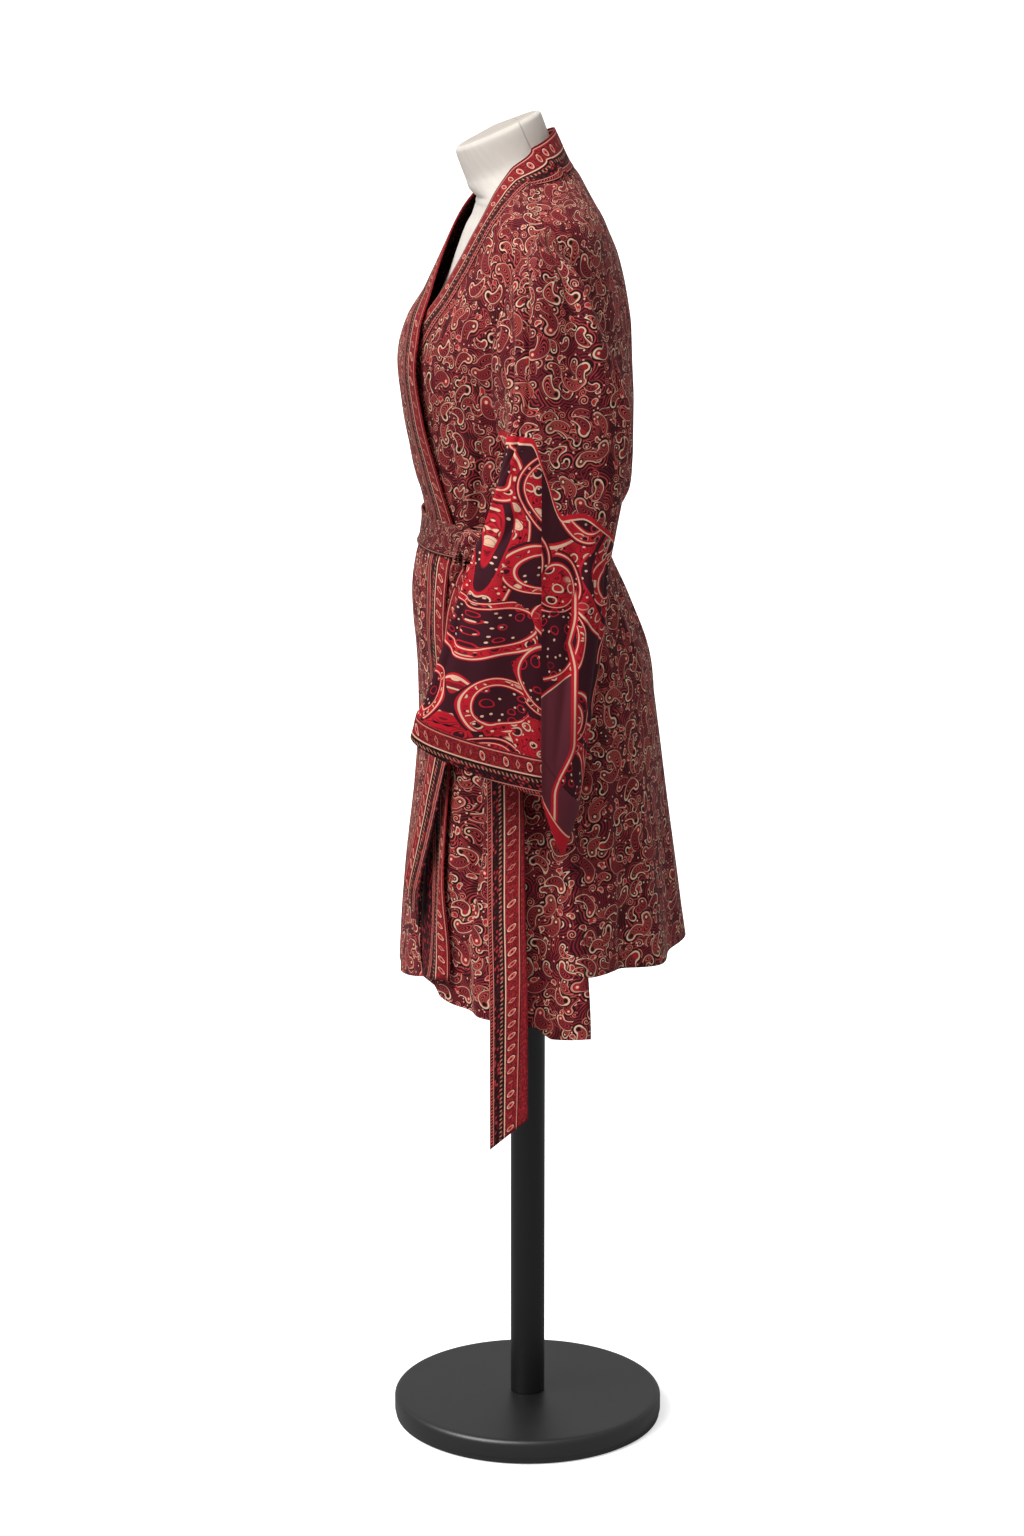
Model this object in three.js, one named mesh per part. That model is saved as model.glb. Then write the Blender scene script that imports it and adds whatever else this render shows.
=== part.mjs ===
// A wrap kimono of printed cloth with its sash, on a limbless dress form with a pole and a round base.
// Millimetres, +Z up. The wearer faces -Y, and the wearer's left is +X.
// The origin is the middle of the base's underside.
// Angles go round the body in degrees: 0 is the front, 90 the wearer's left, 180 the back.

import * as THREE from "three";

// Driving dimensions
const CLOTH = 1.6; // wall of one layer of cloth
const BORDER_CLOTH = 2.2; // wall of the folded border bands
const SASH_CLOTH = 2.6; // wall of the sash, two layers sewn together
const SEAM = 0.3; // gap between two pieces at a seam
const BAND_WIDTH = 42; // border band along the fronts and round the neck
const SASH_WIDTH = 40;
const OVERLAP_LIFT = 3.6; // the right front lies this far outside the left one at the waist
const BUST_LIFT = 5; // and this much more where it stands off at the bust
const HEM_LIFT = 5; // and this much more at the hem
const WAIST_Z = 1014; // middle of the sash
const UNDERARM_Z = 1111;
const SHOULDER_TIP_Z = 1344;
const SQUARENESS = 0.94; // 1 gives plain ellipses round the body, and less a squarer section

const BASE_RADIUS = 150;
const BASE_THICK = 28;
const BASE_ROUND = 7;
const POLE_RADIUS = 19;
const FORM_BOTTOM_Z = 770;

// How many pieces each surface is divided into
const ARM_ROWS = 12; // rows of a body panel from the shoulder tip to the underarm
const SKIRT_ROWS = 12; // from under the sash to the hem
const FRONT_COLUMNS = 14;
const SHOULDER_COLUMNS = 6;
const NAPE_COLUMNS = 14;
const BACK_COLUMNS = 2 * SHOULDER_COLUMNS + NAPE_COLUMNS;
const BAND_COLUMNS = 2;
const SLEEVE_COLUMNS = 2 * ARM_ROWS;
const SASH_COLUMNS = 44;

// The inside of the garment at each height: half width, front and back, and where the widest point lies
const GARMENT = [
  { z: 511, side: 217, front: -134, back: 168, middle: 12 },
  { z: 612, side: 209, front: -127, back: 158, middle: 10 },
  { z: 721, side: 196, front: -117, back: 146, middle: 8 },
  { z: 806, side: 186, front: -112, back: 137, middle: 5 },
  { z: 871, side: 176, front: -114, back: 128, middle: 2 },
  { z: 941, side: 159, front: -119, back: 103, middle: -4 },
  { z: 984, side: 142, front: -115, back: 86, middle: -10 },
  { z: 1005, side: 132, front: -107, back: 79, middle: -13 },
  { z: 1026, side: 131, front: -105, back: 82, middle: -13 },
  { z: 1046, side: 141, front: -108, back: 99, middle: -12 },
  { z: 1068, side: 151, front: -113, back: 107, middle: -10 },
  { z: 1100, side: 161, front: -118, back: 109, middle: -9 },
  { z: 1150, side: 173, front: -125, back: 109, middle: -8 },
  { z: 1190, side: 184, front: -129, back: 107, middle: -6 },
  { z: 1230, side: 193, front: -122, back: 105, middle: -4 },
  { z: 1270, side: 200, front: -101, back: 99, middle: -2 },
  { z: 1306, side: 201, front: -83, back: 90, middle: 0 },
  { z: 1330, side: 194, front: -72, back: 80, middle: 2 },
  { z: 1344, side: 182, front: -65, back: 74, middle: 3 },
  { z: 1356, side: 158, front: -59, back: 67, middle: 4 },
  { z: 1371, side: 118, front: -52, back: 59, middle: 5 },
  { z: 1386, side: 87, front: -45, back: 51, middle: 4 },
  { z: 1399, side: 77, front: -41, back: 41, middle: 1 },
  { z: 1420, side: 62, front: -36, back: 31, middle: -5 },
  { z: 1440, side: 52, front: -33, back: 24, middle: -7 },
];

// Ridges (plus) and valleys (minus) of the skirt: angle, half width in degrees, depth at the hem, height where it starts
const SKIRT_FOLDS = [
  { angle: 101, spread: 8, depth: 13, top: 900 },
  { angle: 87, spread: 6, depth: -11, top: 860 },
  { angle: 66, spread: 9, depth: 6, top: 880 },
  { angle: 51, spread: 6, depth: -7, top: 820 },
  { angle: 20, spread: 10, depth: 4, top: 800 },
  { angle: -4, spread: 9, depth: -4, top: 800 },
  { angle: -34, spread: 9, depth: 6, top: 850 },
  { angle: -58, spread: 7, depth: -6, top: 830 },
  { angle: -80, spread: 9, depth: 8, top: 880 },
  { angle: 118, spread: 7, depth: -9, top: 880 },
  { angle: 134, spread: 8, depth: 8, top: 860 },
  { angle: 153, spread: 8, depth: -7, top: 840 },
  { angle: 172, spread: 9, depth: 7, top: 870 },
  { angle: 192, spread: 8, depth: -6, top: 850 },
  { angle: 212, spread: 9, depth: 8, top: 880 },
  { angle: 232, spread: 8, depth: -8, top: 840 },
  { angle: 250, spread: 8, depth: 7, top: 860 },
];

// Free edge of the border band, from the left front's hem round the nape to the right front's hem
const LEFT_EDGE = [
  { z: 515, angle: -38 },
  { z: 906, angle: -38 },
  { z: 1014, angle: -36 },
  { z: 1073, angle: -28 },
  { z: 1137, angle: -18 },
  { z: 1170, angle: -11 },
  { z: 1209, angle: 3 },
  { z: 1243, angle: 14 },
  { z: 1271, angle: 19 },
  { z: 1296, angle: 22 },
  { z: 1334, angle: 27 },
  { z: 1363, angle: 34 },
  { z: 1394, angle: 55 },
  { z: 1415, angle: 90 },
];
const RIGHT_EDGE = [
  { z: 556, angle: 44.6 },
  { z: 690, angle: 40 },
  { z: 887, angle: 38 },
  { z: 953, angle: 41 },
  { z: 1006, angle: 43 },
  { z: 1031, angle: 41 },
  { z: 1050, angle: 38 },
  { z: 1080, angle: 35 },
  { z: 1142, angle: 29.5 },
  { z: 1174, angle: 27.5 },
  { z: 1210, angle: 26 },
  { z: 1237, angle: 21 },
  { z: 1271, angle: 8 },
  { z: 1306, angle: -6 },
  { z: 1339, angle: -21 },
  { z: 1363, angle: -34 },
  { z: 1394, angle: -55 },
  { z: 1415, angle: -90 },
];
const NECK_SIDE_Z = 1415; // the band's free edge at the side of the neck
const NAPE_Z = 1433; // and at the middle of the nape

// Armhole, front and back alike: share of the way down from the shoulder tip, and degrees in from the side
const ARMHOLE = [
  { down: 0, z: SHOULDER_TIP_Z, inset: 0 },
  { down: 0.2, z: 1318, inset: 9 },
  { down: 0.5, z: 1238, inset: 20 },
  { down: 0.8, z: 1152, inset: 17 },
  { down: 1, z: UNDERARM_Z, inset: 0 },
];

// Height of the hem round the garment
const HEM_LEFT = [
  { angle: -38, z: 572 },
  { angle: 24, z: 566 },
  { angle: 33, z: 549 },
  { angle: 37, z: 533 },
  { angle: 53, z: 526 },
  { angle: 79, z: 523 },
  { angle: 88, z: 504 },
  { angle: 100, z: 509 },
];
const HEM_RIGHT = [
  { angle: -100, z: 514 },
  { angle: -60, z: 515 },
  { angle: -20, z: 522 },
  { angle: 0, z: 528 },
  { angle: 20, z: 541 },
  { angle: 44.6, z: 556 },
];
const HEM_BACK_Z = 574;

// Rows of a body panel between the underarm and the skirt: at its front edge and at its side.
// Three of them run level under the sash.
const WAIST = [
  { edge: 1156, side: UNDERARM_Z },
  { edge: 1110, side: 1084 },
  { edge: 1068, side: 1059 },
  { edge: 1034.5, side: 1034.5 },
  { edge: WAIST_Z, side: WAIST_Z },
  { edge: 993.5, side: 993.5 },
];
const WAIST_ROWS = WAIST.length - 1;
const PANEL_ROWS = ARM_ROWS + WAIST_ROWS + SKIRT_ROWS;

// The side seam leans back on its way down
const SIDE_SEAM = [
  { z: 511, angle: 100 },
  { z: 850, angle: 97 },
  { z: WAIST_Z, angle: 93 },
  { z: UNDERARM_Z, angle: 90 },
];

// Sleeve sections from the armhole to the cuff's edge: its outer, inner, front and back line.
// X is measured outwards, and the front's and the back's Y along the body.
const SLEEVE = [
  { outX: 207, outZ: 1335, inX: 172, inZ: 1104, midX: 192, foreY: -46, foreZ: 1226, rearY: 62, rearZ: 1226 },
  { outX: 229, outZ: 1314, inX: 177, inZ: 1092, midX: 205, foreY: -42, foreZ: 1201, rearY: 74, rearZ: 1201 },
  { outX: 245, outZ: 1276, inX: 182, inZ: 1076, midX: 213, foreY: -40, foreZ: 1171, rearY: 79, rearZ: 1171 },
  { outX: 254, outZ: 1221, inX: 186, inZ: 1056, midX: 219, foreY: -41, foreZ: 1136, rearY: 80, rearZ: 1136 },
  { outX: 259, outZ: 1161, inX: 189, inZ: 1031, midX: 223, foreY: -48, foreZ: 1096, rearY: 76, rearZ: 1096 },
  { outX: 261, outZ: 1101, inX: 191, inZ: 1001, midX: 225, foreY: -60, foreZ: 1056, rearY: 68, rearZ: 1051 },
  { outX: 262, outZ: 1041, inX: 193, inZ: 966, midX: 226, foreY: -77, foreZ: 1011, rearY: 60, rearZ: 1003 },
  { outX: 262, outZ: 981, inX: 195, inZ: 931, midX: 227, foreY: -95, foreZ: 961, rearY: 57, rearZ: 951 },
  { outX: 262, outZ: 921, inX: 197, inZ: 896, midX: 227, foreY: -111, foreZ: 913, rearY: 49, rearZ: 893 },
  { outX: 261, outZ: 866, inX: 199, inZ: 864, midX: 226, foreY: -124, foreZ: 878, rearY: 40, rearZ: 830 },
  { outX: 260, outZ: 818, inX: 202, inZ: 842, midX: 223, foreY: -133, foreZ: 858, rearY: 32, rearZ: 768 },
];
const CUFF = [
  { outX: 260, outZ: 817.4, inX: 202, inZ: 841.4, midX: 223, foreY: -133.3, foreZ: 857.4, rearY: 31.8, rearZ: 767.4 },
  { outX: 259, outZ: 797, inX: 203, inZ: 822, midX: 221, foreY: -136, foreZ: 845, rearY: 24, rearZ: 739 },
  { outX: 258, outZ: 777, inX: 204, inZ: 804, midX: 219, foreY: -139, foreZ: 833, rearY: 15, rearZ: 710 },
];
const SLEEVE_FREE = [0.3, 0.6, 0.85]; // how far the first sections have left the armhole's own shape
const SLEEVE_OUT_Y = -11; // the outer fold hangs a little in front of the body's middle
const SLEEVE_BLOCK = 0.86; // how boxy a sleeve's section is, as for the body
const LEFT_REACH = 1; // the left sleeve swings forwards, the right one hangs straighter
const RIGHT_REACH = 0.1;

// The dress form: height, half width, front and back depth from its middle, the middle itself, forward tilt in degrees
const FORM = [
  { z: FORM_BOTTOM_Z, side: 150, fore: 98, rear: 112, middle: 4, tilt: 0 },
  { z: 778, side: 161, fore: 104, rear: 121, middle: 4, tilt: 0 },
  { z: 850, side: 166, fore: 104, rear: 116, middle: 3, tilt: 0 },
  { z: 920, side: 153, fore: 101, rear: 96, middle: 0, tilt: 0 },
  { z: 980, side: 129, fore: 91, rear: 80, middle: -8, tilt: 0 },
  { z: 1020, side: 116, fore: 85, rear: 80, middle: -12, tilt: 0 },
  { z: 1070, side: 124, fore: 93, rear: 96, middle: -10, tilt: 0 },
  { z: 1130, side: 140, fore: 108, rear: 106, middle: -8, tilt: 0 },
  { z: 1190, side: 155, fore: 113, rear: 105, middle: -6, tilt: 0 },
  { z: 1240, side: 167, fore: 99, rear: 102, middle: -4, tilt: 0 },
  { z: 1280, side: 178, fore: 82, rear: 94, middle: -2, tilt: 0 },
  { z: 1310, side: 184, fore: 73, rear: 84, middle: 0, tilt: 0 },
  { z: 1330, side: 183, fore: 67, rear: 72, middle: 2, tilt: 0 },
  { z: 1343, side: 174.5, fore: 59, rear: 62, middle: 3, tilt: 0 },
  { z: 1354.9, side: 157.3, fore: 53, rear: 54, middle: 3, tilt: 2 },
  { z: 1363, side: 137.3, fore: 50, rear: 50, middle: 1, tilt: 5 },
  { z: 1370.5, side: 116.3, fore: 48, rear: 47, middle: -1, tilt: 8 },
  { z: 1377, side: 92, fore: 49, rear: 46, middle: -5, tilt: 12 },
  { z: 1386, side: 66, fore: 51, rear: 47, middle: -12, tilt: 16 },
  { z: 1400, side: 52, fore: 50, rear: 48, middle: -20, tilt: 21 },
  { z: 1429, side: 47, fore: 49, rear: 49, middle: -32, tilt: 24 },
  { z: 1433, side: 42, fore: 44, rear: 44, middle: -33.5, tilt: 24 },
];
const FORM_TOP = new THREE.Vector3(0, -36, 1437);
const FORM_COLUMNS = 28;

// The sash's free ends: height, angle on the skirt, how far off the cloth below, and width, pinched at the knot.
// Below the last row they hang straight down.
const TAIL_LONG = [
  { z: 995, angle: 62.5, lift: 8.6, wide: 26 },
  { z: 978, angle: 65, lift: 5.8, wide: 31 },
  { z: 945, angle: 66, lift: 5, wide: 38 },
  { z: 900, angle: 67, lift: 5, wide: 40 },
  { z: 790, angle: 70, lift: 5, wide: 40 },
  { z: 650, angle: 71, lift: 6, wide: 40 },
  { z: 540, angle: 72, lift: 7, wide: 40 },
];
const TAIL_LONG_TIP_Z = { fore: 387, rear: 422 };
const TAIL_SHORT = [
  { z: 995, angle: 61.5, lift: 11.9, wide: 26 },
  { z: 978, angle: 58.5, lift: 10.5, wide: 31 },
  { z: 945, angle: 54, lift: 10, wide: 38 },
  { z: 900, angle: 49, lift: 8, wide: 40 },
  { z: 800, angle: 37, lift: 8, wide: 40 },
  { z: 700, angle: 29, lift: 9, wide: 40 },
  { z: 640, angle: 25, lift: 9, wide: 40 },
];
const TAIL_SHORT_TIP_Z = { fore: 646, rear: 604 };
const KNOT_ANGLE = 62;
const KNOT_HALF = { along: 21, out: 11, up: 20 };

// One smooth column of a table, read at any height or angle, with no overshoot between its rows
function read(table, column, at, key = "z") {
  const last = table.length - 1;
  if (at <= table[0][key]) return table[0][column];
  if (at >= table[last][key]) return table[last][column];
  const i = table.findIndex((row) => row[key] > at) - 1;
  const slope = (k) =>
    k < 0 || k >= last
      ? 0
      : (table[k + 1][column] - table[k][column]) / (table[k + 1][key] - table[k][key]);
  const tangent = (before, after) => (before * after <= 0 ? 0 : (2 * before * after) / (before + after));
  const step = table[i + 1][key] - table[i][key];
  const t = (at - table[i][key]) / step;
  const start = tangent(slope(i - 1), slope(i));
  const end = tangent(slope(i), slope(i + 1));
  return (
    table[i][column] * (1 + 2 * t) * (1 - t) ** 2 +
    start * step * t * (1 - t) ** 2 +
    table[i + 1][column] * t * t * (3 - 2 * t) +
    end * step * t * t * (t - 1)
  );
}

const mix = THREE.MathUtils.lerp;
const ease = THREE.MathUtils.smoothstep;
const radians = THREE.MathUtils.degToRad;
const turned = (angle) => ((((angle + 180) % 360) + 360) % 360) - 180; // an angle within -180 to 180
const boxy = (value, power) => Math.sign(value) * Math.abs(value) ** power;

function foldDepth(angle, z) {
  let sum = 0;
  for (const fold of SKIRT_FOLDS) {
    const away = turned(angle - fold.angle) / fold.spread;
    const grown = ease(fold.top - z, 0, fold.top - GARMENT[0].z);
    sum += fold.depth * grown * Math.exp(-away * away);
  }
  return sum;
}

// The garment's inner surface
function bodyPoint(angle, z) {
  const a = radians(angle);
  const side = read(GARMENT, "side", z);
  const middle = read(GARMENT, "middle", z);
  const depth = Math.cos(a) > 0 ? middle - read(GARMENT, "front", z) : read(GARMENT, "back", z) - middle;
  const out = new THREE.Vector3(Math.sin(a) / side, -Math.cos(a) / depth, 0).normalize();
  return new THREE.Vector3(
    side * boxy(Math.sin(a), SQUARENESS),
    middle - depth * boxy(Math.cos(a), SQUARENESS),
    z,
  ).addScaledVector(out, foldDepth(angle, z));
}

function bodyNormal(angle, z) {
  const round = bodyPoint(angle + 1.5, z).sub(bodyPoint(angle - 1.5, z));
  const up = bodyPoint(angle, z + 2).sub(bodyPoint(angle, z - 2));
  return round.cross(up).normalize();
}

// How far a layer of cloth lies outside the body surface: only the right front is lifted, over the left one
function rightLift(angle, z) {
  const hem = HEM_LIFT * ease(WAIST_Z - z, 40, WAIST_Z - GARMENT[0].z);
  const bust = BUST_LIFT * ease(z, 1045, 1140);
  return (OVERLAP_LIFT + bust + hem) * ease(turned(angle), -88, -48) * ease(1395 - z, 0, 60);
}

const onBody = (angle, z, lift) => bodyPoint(angle, z).addScaledVector(bodyNormal(angle, z), lift);

// From a place on the body, go a distance over it at right angles to the way the edge runs
function across(from, along, distance) {
  const steps = 6;
  const place = { ...from };
  for (let i = 0; i < steps; i++) {
    const round = bodyPoint(place.angle + 0.5, place.z).sub(bodyPoint(place.angle - 0.5, place.z));
    const up = bodyPoint(place.angle, place.z + 0.5).sub(bodyPoint(place.angle, place.z - 0.5));
    const edge = round.clone().multiplyScalar(along.angle).addScaledVector(up, along.z);
    const way = edge.cross(bodyNormal(place.angle, place.z)).normalize().multiplyScalar(distance / steps);
    const a = round.dot(round);
    const b = round.dot(up);
    const c = up.dot(up);
    const r = way.dot(round);
    const u = way.dot(up);
    place.angle += (r * c - u * b) / (a * c - b * b);
    place.z += (u * a - r * b) / (a * c - b * b);
  }
  return place;
}

// A closed wall from a box: fill(u, v, outside) gives the point for each corner of its fine grid
function panel(columns, rows, fill) {
  const box = new THREE.BoxGeometry(1, 1, 1, columns, rows, 1);
  const place = box.getAttribute("position");
  for (let i = 0; i < place.count; i++) {
    const column = Math.round((place.getX(i) + 0.5) * columns);
    const row = Math.round((place.getY(i) + 0.5) * rows);
    const point = fill(column, row, place.getZ(i) > 0);
    place.setXYZ(i, point.x, point.y, point.z);
  }
  return facingOut(box);
}

// A closed wall round a tube, from a torus whose own section runs up the outside and down the inside
function tube(columns, rows, fill) {
  const ring = new THREE.TorusGeometry(2, 1, 2 * rows + 2, columns);
  const place = ring.getAttribute("position");
  for (let j = 0; j <= 2 * rows + 2; j++) {
    const turn = j % (2 * rows + 2);
    const row = turn <= rows ? turn : 2 * rows + 1 - turn;
    for (let i = 0; i <= columns; i++) {
      const point = fill(i % columns, row, turn <= rows);
      place.setXYZ(j * (columns + 1) + i, point.x, point.y, point.z);
    }
  }
  return facingOut(ring);
}

// A closed lump from a sphere: fill(column, row) for each ring, and the two poles
function lump(columns, rows, fill) {
  const ball = new THREE.SphereGeometry(1, columns, rows);
  const place = ball.getAttribute("position");
  for (let row = 0; row <= rows; row++) {
    for (let i = 0; i <= columns; i++) {
      const point = fill(i % columns, row);
      place.setXYZ(row * (columns + 1) + i, point.x, point.y, point.z);
    }
  }
  return facingOut(ball);
}

// Turns the faces round where the mapping left them pointing inwards
function facingOut(geometry) {
  const place = geometry.getAttribute("position");
  const corner = [0, 1, 2].map(() => new THREE.Vector3());
  const index = geometry.index.array;
  let volume = 0;
  for (let i = 0; i < index.length; i += 3) {
    corner.forEach((point, k) => point.fromBufferAttribute(place, index[i + k]));
    volume += corner[0].dot(corner[1].clone().cross(corner[2]));
  }
  if (volume < 0) {
    for (let i = 0; i < index.length; i += 3) [index[i + 1], index[i + 2]] = [index[i + 2], index[i + 1]];
  }
  geometry.deleteAttribute("uv");
  geometry.computeVertexNormals();
  return geometry;
}

// A row of a body panel: the height of its front edge and the place of its outer edge
function rowPlace(row, hemAtEdge, hemAtSide) {
  if (row <= ARM_ROWS) {
    const down = row / ARM_ROWS;
    return {
      edgeZ: mix(NECK_SIDE_Z, WAIST[0].edge, 0.55 * down + 0.45 * down ** 1.6),
      outer: { angle: 90 - read(ARMHOLE, "inset", down, "down"), z: read(ARMHOLE, "z", down, "down") },
    };
  }
  const skirt = (row - ARM_ROWS - WAIST_ROWS) / SKIRT_ROWS;
  const waist = WAIST[Math.min(row - ARM_ROWS, WAIST_ROWS)];
  const down = Math.max(0, skirt);
  const sideZ = mix(waist.side, hemAtSide, down);
  return {
    edgeZ: mix(waist.edge, hemAtEdge, down),
    outer: { angle: read(SIDE_SEAM, "angle", sideZ), z: sideZ },
  };
}

// The border band as one strip: its free edge up the left front, round the nape and down the right front,
// and its seam to the panels, one band's width across from it
function bandStrip() {
  const strip = [];
  const hems = { 1: HEM_LEFT, "-1": HEM_RIGHT };
  const edgeOf = (row, side, table) => {
    const hemAtEdge = side > 0 ? HEM_LEFT[0].z : HEM_RIGHT[HEM_RIGHT.length - 1].z;
    const z = rowPlace(row, hemAtEdge, hemAtEdge).edgeZ;
    const down = Math.max(0, row - ARM_ROWS - WAIST_ROWS) / SKIRT_ROWS;
    return { side, down, z, angle: read(table, "angle", z) + (side > 0 ? 0 : 360) };
  };
  for (let row = PANEL_ROWS; row > 0; row--) strip.push(edgeOf(row, 1, LEFT_EDGE));
  for (let i = 0; i <= NAPE_COLUMNS; i++) {
    const share = i / NAPE_COLUMNS;
    strip.push({
      side: 0,
      down: 0,
      angle: mix(90, 270, share),
      z: mix(NECK_SIDE_Z, NAPE_Z, Math.sin(Math.PI * share)),
    });
  }
  for (let row = 1; row <= PANEL_ROWS; row++) strip.push(edgeOf(row, -1, RIGHT_EDGE));
  strip.forEach((free, i) => {
    const before = strip[Math.max(i - 1, 0)];
    const after = strip[Math.min(i + 1, strip.length - 1)];
    const along = { angle: after.angle - before.angle, z: after.z - before.z };
    free.seam = across({ angle: free.angle, z: free.z }, along, BAND_WIDTH);
    if (free.down > 0) free.seam.z = toHem(free.seam.z, free.down, hems[free.side], turned(free.seam.angle));
  });
  return strip;
}

// Lets a row's height sink to the hem's own line towards the bottom
const toHem = (z, down, hem, angle) => mix(z, Math.min(z, read(hem, "z", angle, "angle")), down ** 3);

const strip = bandStrip();
const napeSeam = strip.slice(PANEL_ROWS, PANEL_ROWS + NAPE_COLUMNS + 1).map((place) => place.seam);

// One front: for each row its seam to the band and its outer edge. side is 1 for the left front, -1 for the right.
function frontRows(side) {
  const hem = side > 0 ? HEM_LEFT : HEM_RIGHT;
  const hemAtSide = side > 0 ? hem[hem.length - 1].z : hem[0].z;
  const rows = [];
  for (let row = 0; row <= PANEL_ROWS; row++) {
    const { outer } = rowPlace(row, 0, hemAtSide);
    const place = side > 0 ? strip[PANEL_ROWS - row] : strip[PANEL_ROWS + NAPE_COLUMNS + row];
    const seam = { angle: place.seam.angle - (side > 0 ? 0 : 360), z: place.seam.z };
    rows.push({ seam, outer: { angle: side * outer.angle, z: outer.z } });
  }
  return rows;
}

function frontPanel(side) {
  const rows = frontRows(side);
  const hem = side > 0 ? HEM_LEFT : HEM_RIGHT;
  return panel(FRONT_COLUMNS, PANEL_ROWS, (column, row, outside) => {
    const { seam, outer } = rows[row];
    const share = column / FRONT_COLUMNS;
    const gap = (SEAM / 140) * (1 - 2 * share); // both ends stop half a seam short
    const angle = mix(seam.angle, outer.angle, share + gap);
    const down = Math.max(0, row - ARM_ROWS - WAIST_ROWS) / SKIRT_ROWS;
    const z = toHem(mix(seam.z, outer.z, share), down, hem, angle);
    const lift = side > 0 ? 0 : rightLift(angle, z);
    const point = onBody(angle, z, lift + (outside ? CLOTH : 0));
    if (row === 0) point.y -= SEAM; // clear of the back along the shoulder
    return point;
  });
}

// The back's top edge follows the shoulders and the neck seam, and its lower rows run from side to side
function backPlace(column, row) {
  const share = column / BACK_COLUMNS;
  const { outer } = rowPlace(row, HEM_BACK_Z, HEM_BACK_Z);
  const left = row <= ARM_ROWS ? 180 - outer.angle : outer.angle;
  const rise = Math.sin(Math.PI * share);
  const lowered = Math.min(1, row / (ARM_ROWS + 3)); // the rows under the sash are level
  const plain = {
    angle: mix(left, 360 - left, share),
    z: outer.z + rise * mix(1398 - SHOULDER_TIP_Z, 0, lowered),
  };
  const near = column < SHOULDER_COLUMNS || column > BACK_COLUMNS - SHOULDER_COLUMNS;
  const fromTip = Math.min(column, BACK_COLUMNS - column) / SHOULDER_COLUMNS;
  const neck = napeSeam[THREE.MathUtils.clamp(column - SHOULDER_COLUMNS, 0, NAPE_COLUMNS)];
  const top = near
    ? { angle: mix(share < 0.5 ? 90 : 270, neck.angle, fromTip), z: mix(SHOULDER_TIP_Z, neck.z, fromTip) }
    : neck;
  const blend = ease(row, 0, 7);
  return { angle: mix(top.angle, plain.angle, blend), z: mix(top.z, plain.z, blend) };
}

function backPanel() {
  return panel(BACK_COLUMNS, PANEL_ROWS, (column, row, outside) => {
    const { angle, z } = backPlace(column, row);
    const share = column / BACK_COLUMNS;
    const sideGap = (SEAM / 1.6) * (1 - 2 * share) * (row > ARM_ROWS ? 0.4 : 0);
    const topGap = row === 0 ? SEAM : 0;
    const point = onBody(angle + sideGap, z, outside ? CLOTH : 0);
    const ridge = row === 0 && (column <= SHOULDER_COLUMNS || column >= BACK_COLUMNS - SHOULDER_COLUMNS);
    if (ridge) point.y += 3 * SEAM;
    else point.z -= topGap;
    return point;
  });
}

function collarBand() {
  return panel(BAND_COLUMNS, strip.length - 1, (column, row, outside) => {
    const place = strip[row];
    const share = (column / BAND_COLUMNS) * (1 - (2 * SEAM) / BAND_WIDTH);
    const angle = mix(place.angle, place.seam.angle, share);
    const z = mix(place.z, place.seam.z, share);
    const lift = place.side < 0 ? rightLift(angle, z) : 0;
    return onBody(angle, z, lift + (outside ? BORDER_CLOTH : 0));
  });
}

// One section of a sleeve as four lines joined by soft corners
function sleeveSection(row, turn, side, reach) {
  const swing = (y) => mix(SLEEVE_OUT_Y, y, y < SLEEVE_OUT_Y ? mix(1, 0.62, 1 - reach) : 1);
  const middleX = (row.outX + row.inX) / 2;
  const middle = new THREE.Vector3(middleX, SLEEVE_OUT_Y, (row.outZ + row.inZ) / 2);
  const outer = new THREE.Vector3(row.outX, SLEEVE_OUT_Y, row.outZ);
  const inner = new THREE.Vector3(row.inX, SLEEVE_OUT_Y * 0.5, row.inZ);
  const fore = new THREE.Vector3(row.midX, swing(row.foreY), row.foreZ);
  const rear = new THREE.Vector3(row.midX, row.rearY, row.rearZ);
  const a = 2 * Math.PI * turn;
  const c = Math.abs(Math.cos(a)) ** SLEEVE_BLOCK;
  const s = Math.abs(Math.sin(a)) ** SLEEVE_BLOCK;
  const point = middle
    .clone()
    .addScaledVector((Math.cos(a) > 0 ? outer : inner).clone().sub(middle), c)
    .addScaledVector((Math.sin(a) > 0 ? fore : rear).clone().sub(middle), s);
  point.x *= side;
  return point;
}

// The sleeve's first section lies just outside the body panels' armhole edge
function armholePoint(column, side) {
  const down = Math.min(column, SLEEVE_COLUMNS - column) / ARM_ROWS;
  const inset = read(ARMHOLE, "inset", down, "down");
  const angle = column <= ARM_ROWS ? 90 - inset : 90 + inset;
  const z = read(ARMHOLE, "z", down, "down");
  const lap = CLOTH + 4 * SEAM + CLOTH * down + (side > 0 ? 0 : rightLift(-angle, z));
  return onBody(side * angle, z, lap);
}

// A tube wall through the given grid of points, thickened outwards by the grid's own normals
function clothTube(grid, thickness) {
  const rows = grid.length - 1;
  const columns = grid[0].length;
  const normals = grid.map((ring, row) =>
    ring.map((point, i) => {
      const round = ring[(i + 1) % columns].clone().sub(ring[(i + columns - 1) % columns]);
      const along = grid[Math.min(row + 1, rows)][i].clone().sub(grid[Math.max(row - 1, 0)][i]);
      return along.cross(round).normalize();
    }),
  );
  const centre = grid[rows].reduce((sum, p) => sum.add(p), new THREE.Vector3()).divideScalar(columns);
  const outward = Math.sign(normals[rows][0].dot(grid[rows][0].clone().sub(centre)));
  return tube(columns, rows, (i, row, outside) =>
    grid[row][i].clone().addScaledVector(normals[row][i], outside ? outward * thickness : 0),
  );
}

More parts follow.
